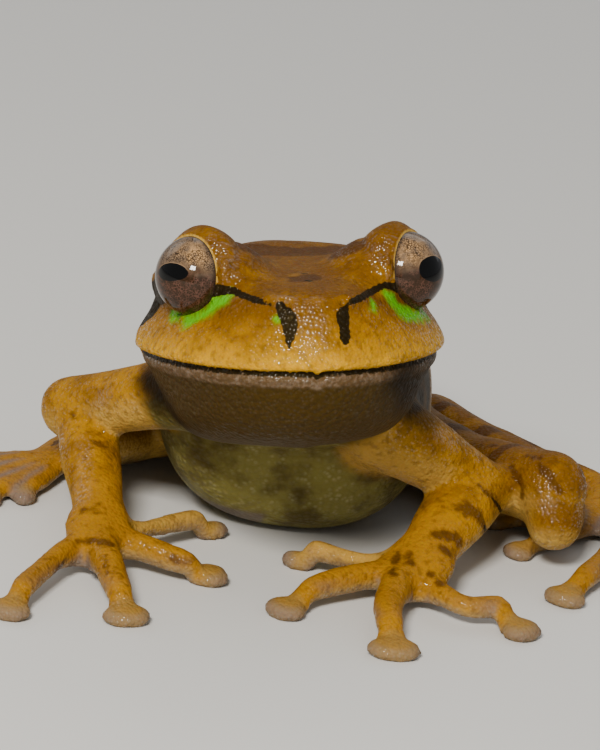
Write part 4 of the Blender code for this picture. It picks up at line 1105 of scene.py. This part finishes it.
def addCamera():
    data = bpy.data.cameras.new("camera")
    made = placed("camera", data)
    data.sensor_width = 36.0
    data.lens = data.sensor_width * camera["distance"] / camera["pixel"] / camera["high"]
    data.clip_start, data.clip_end = 0.01, 20.0
    turn = Matrix([cameraRight, cameraUp, -forward]).transposed().to_4x4()
    made.matrix_world = Matrix.Translation((cameraAt - middle) * mm) @ turn
    bpy.context.scene.camera = made


plate = {"half": 3.0, "under": 2e-5, "paint": {"Base Color": (0.62, 0.61, 0.58, 1), "Roughness": 0.7}}


def addFloor():
    half = plate["half"]
    corners = [(x, y, -plate["under"]) for x in (-half, half) for y in (-half, half)]
    mesh = bpy.data.meshes.new("floor")
    mesh.from_pydata(corners, [], [(0, 2, 3, 1)])
    floor = placed("floor", mesh)
    mesh.materials.append(newPaint("paleFloor", plate["paint"])[0])


# Lights: place and aim in metres, longer edge, power and colour.
lights = {
    "key": ((-0.10, -0.42, 0.34), (0, 0, 0.015), 0.125, 4.2, (1.0, 0.96, 0.9)),
    "top": ((0.06, 0.44, 0.46), (0, 0, 0.01), 0.4, 0.5, (1.0, 0.98, 0.95)),
    "side": ((0.38, 0.48, 0.28), (0, 0, 0.015), 0.4, 0.25, (0.9, 0.95, 1.0)),
    "back": ((-0.45, 0.4, 0.35), (0, 0, 0.015), 0.4, 0.45, (1.0, 0.97, 0.92)),
    "fill": ((0.2, -0.5, 0.06), (0, 0, 0.012), 0.5, 0.5, (1.0, 0.97, 0.92)),
}
lightShape = 0.8                              # a light's shorter edge as a share of the longer
world = {"Color": (0.85, 0.87, 0.9, 1), "Strength": 0.42}


def addLights():
    for name, (place, aim, size, power, colour) in lights.items():
        data = bpy.data.lights.new(name, "AREA")
        data.shape = "RECTANGLE"
        data.size, data.size_y, data.energy, data.color = size, lightShape * size, power, colour
        made = placed(name, data)
        made.location = place
        made.rotation_euler = (Vector(aim) - Vector(place)).to_track_quat("-Z", "Y").to_euler()
    studio = bpy.data.worlds.new("studio")
    bpy.context.scene.world = studio
    studio.use_nodes = True
    for socket, value in world.items():
        studio.node_tree.nodes["Background"].inputs[socket].default_value = value


addCamera()
addFloor()
addLights()
print("camera, floor and lights set")

skinPoints, skinQuads = skinShape()
print("skin shaped:", len(skinPoints), "points,", 2 * len(skinQuads), "triangles")
skin = toMesh("skin", skinPoints, skinQuads, skinFields(skinPoints, skinQuads))
skin.data.materials.append(skinPaint())
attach(skin, "root")
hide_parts(*[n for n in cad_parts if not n.startswith("eye_")])
print("skin marked and painted")

gloss = eyePaint()
for name, side in (("left", 1), ("right", -1)):
    ball = toMesh("eye" + name.title(), *eyeShape(name, side))
    ball.data.materials.append(gloss)
    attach(ball, "root")
    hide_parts("eye_" + name)
print("eyes made")
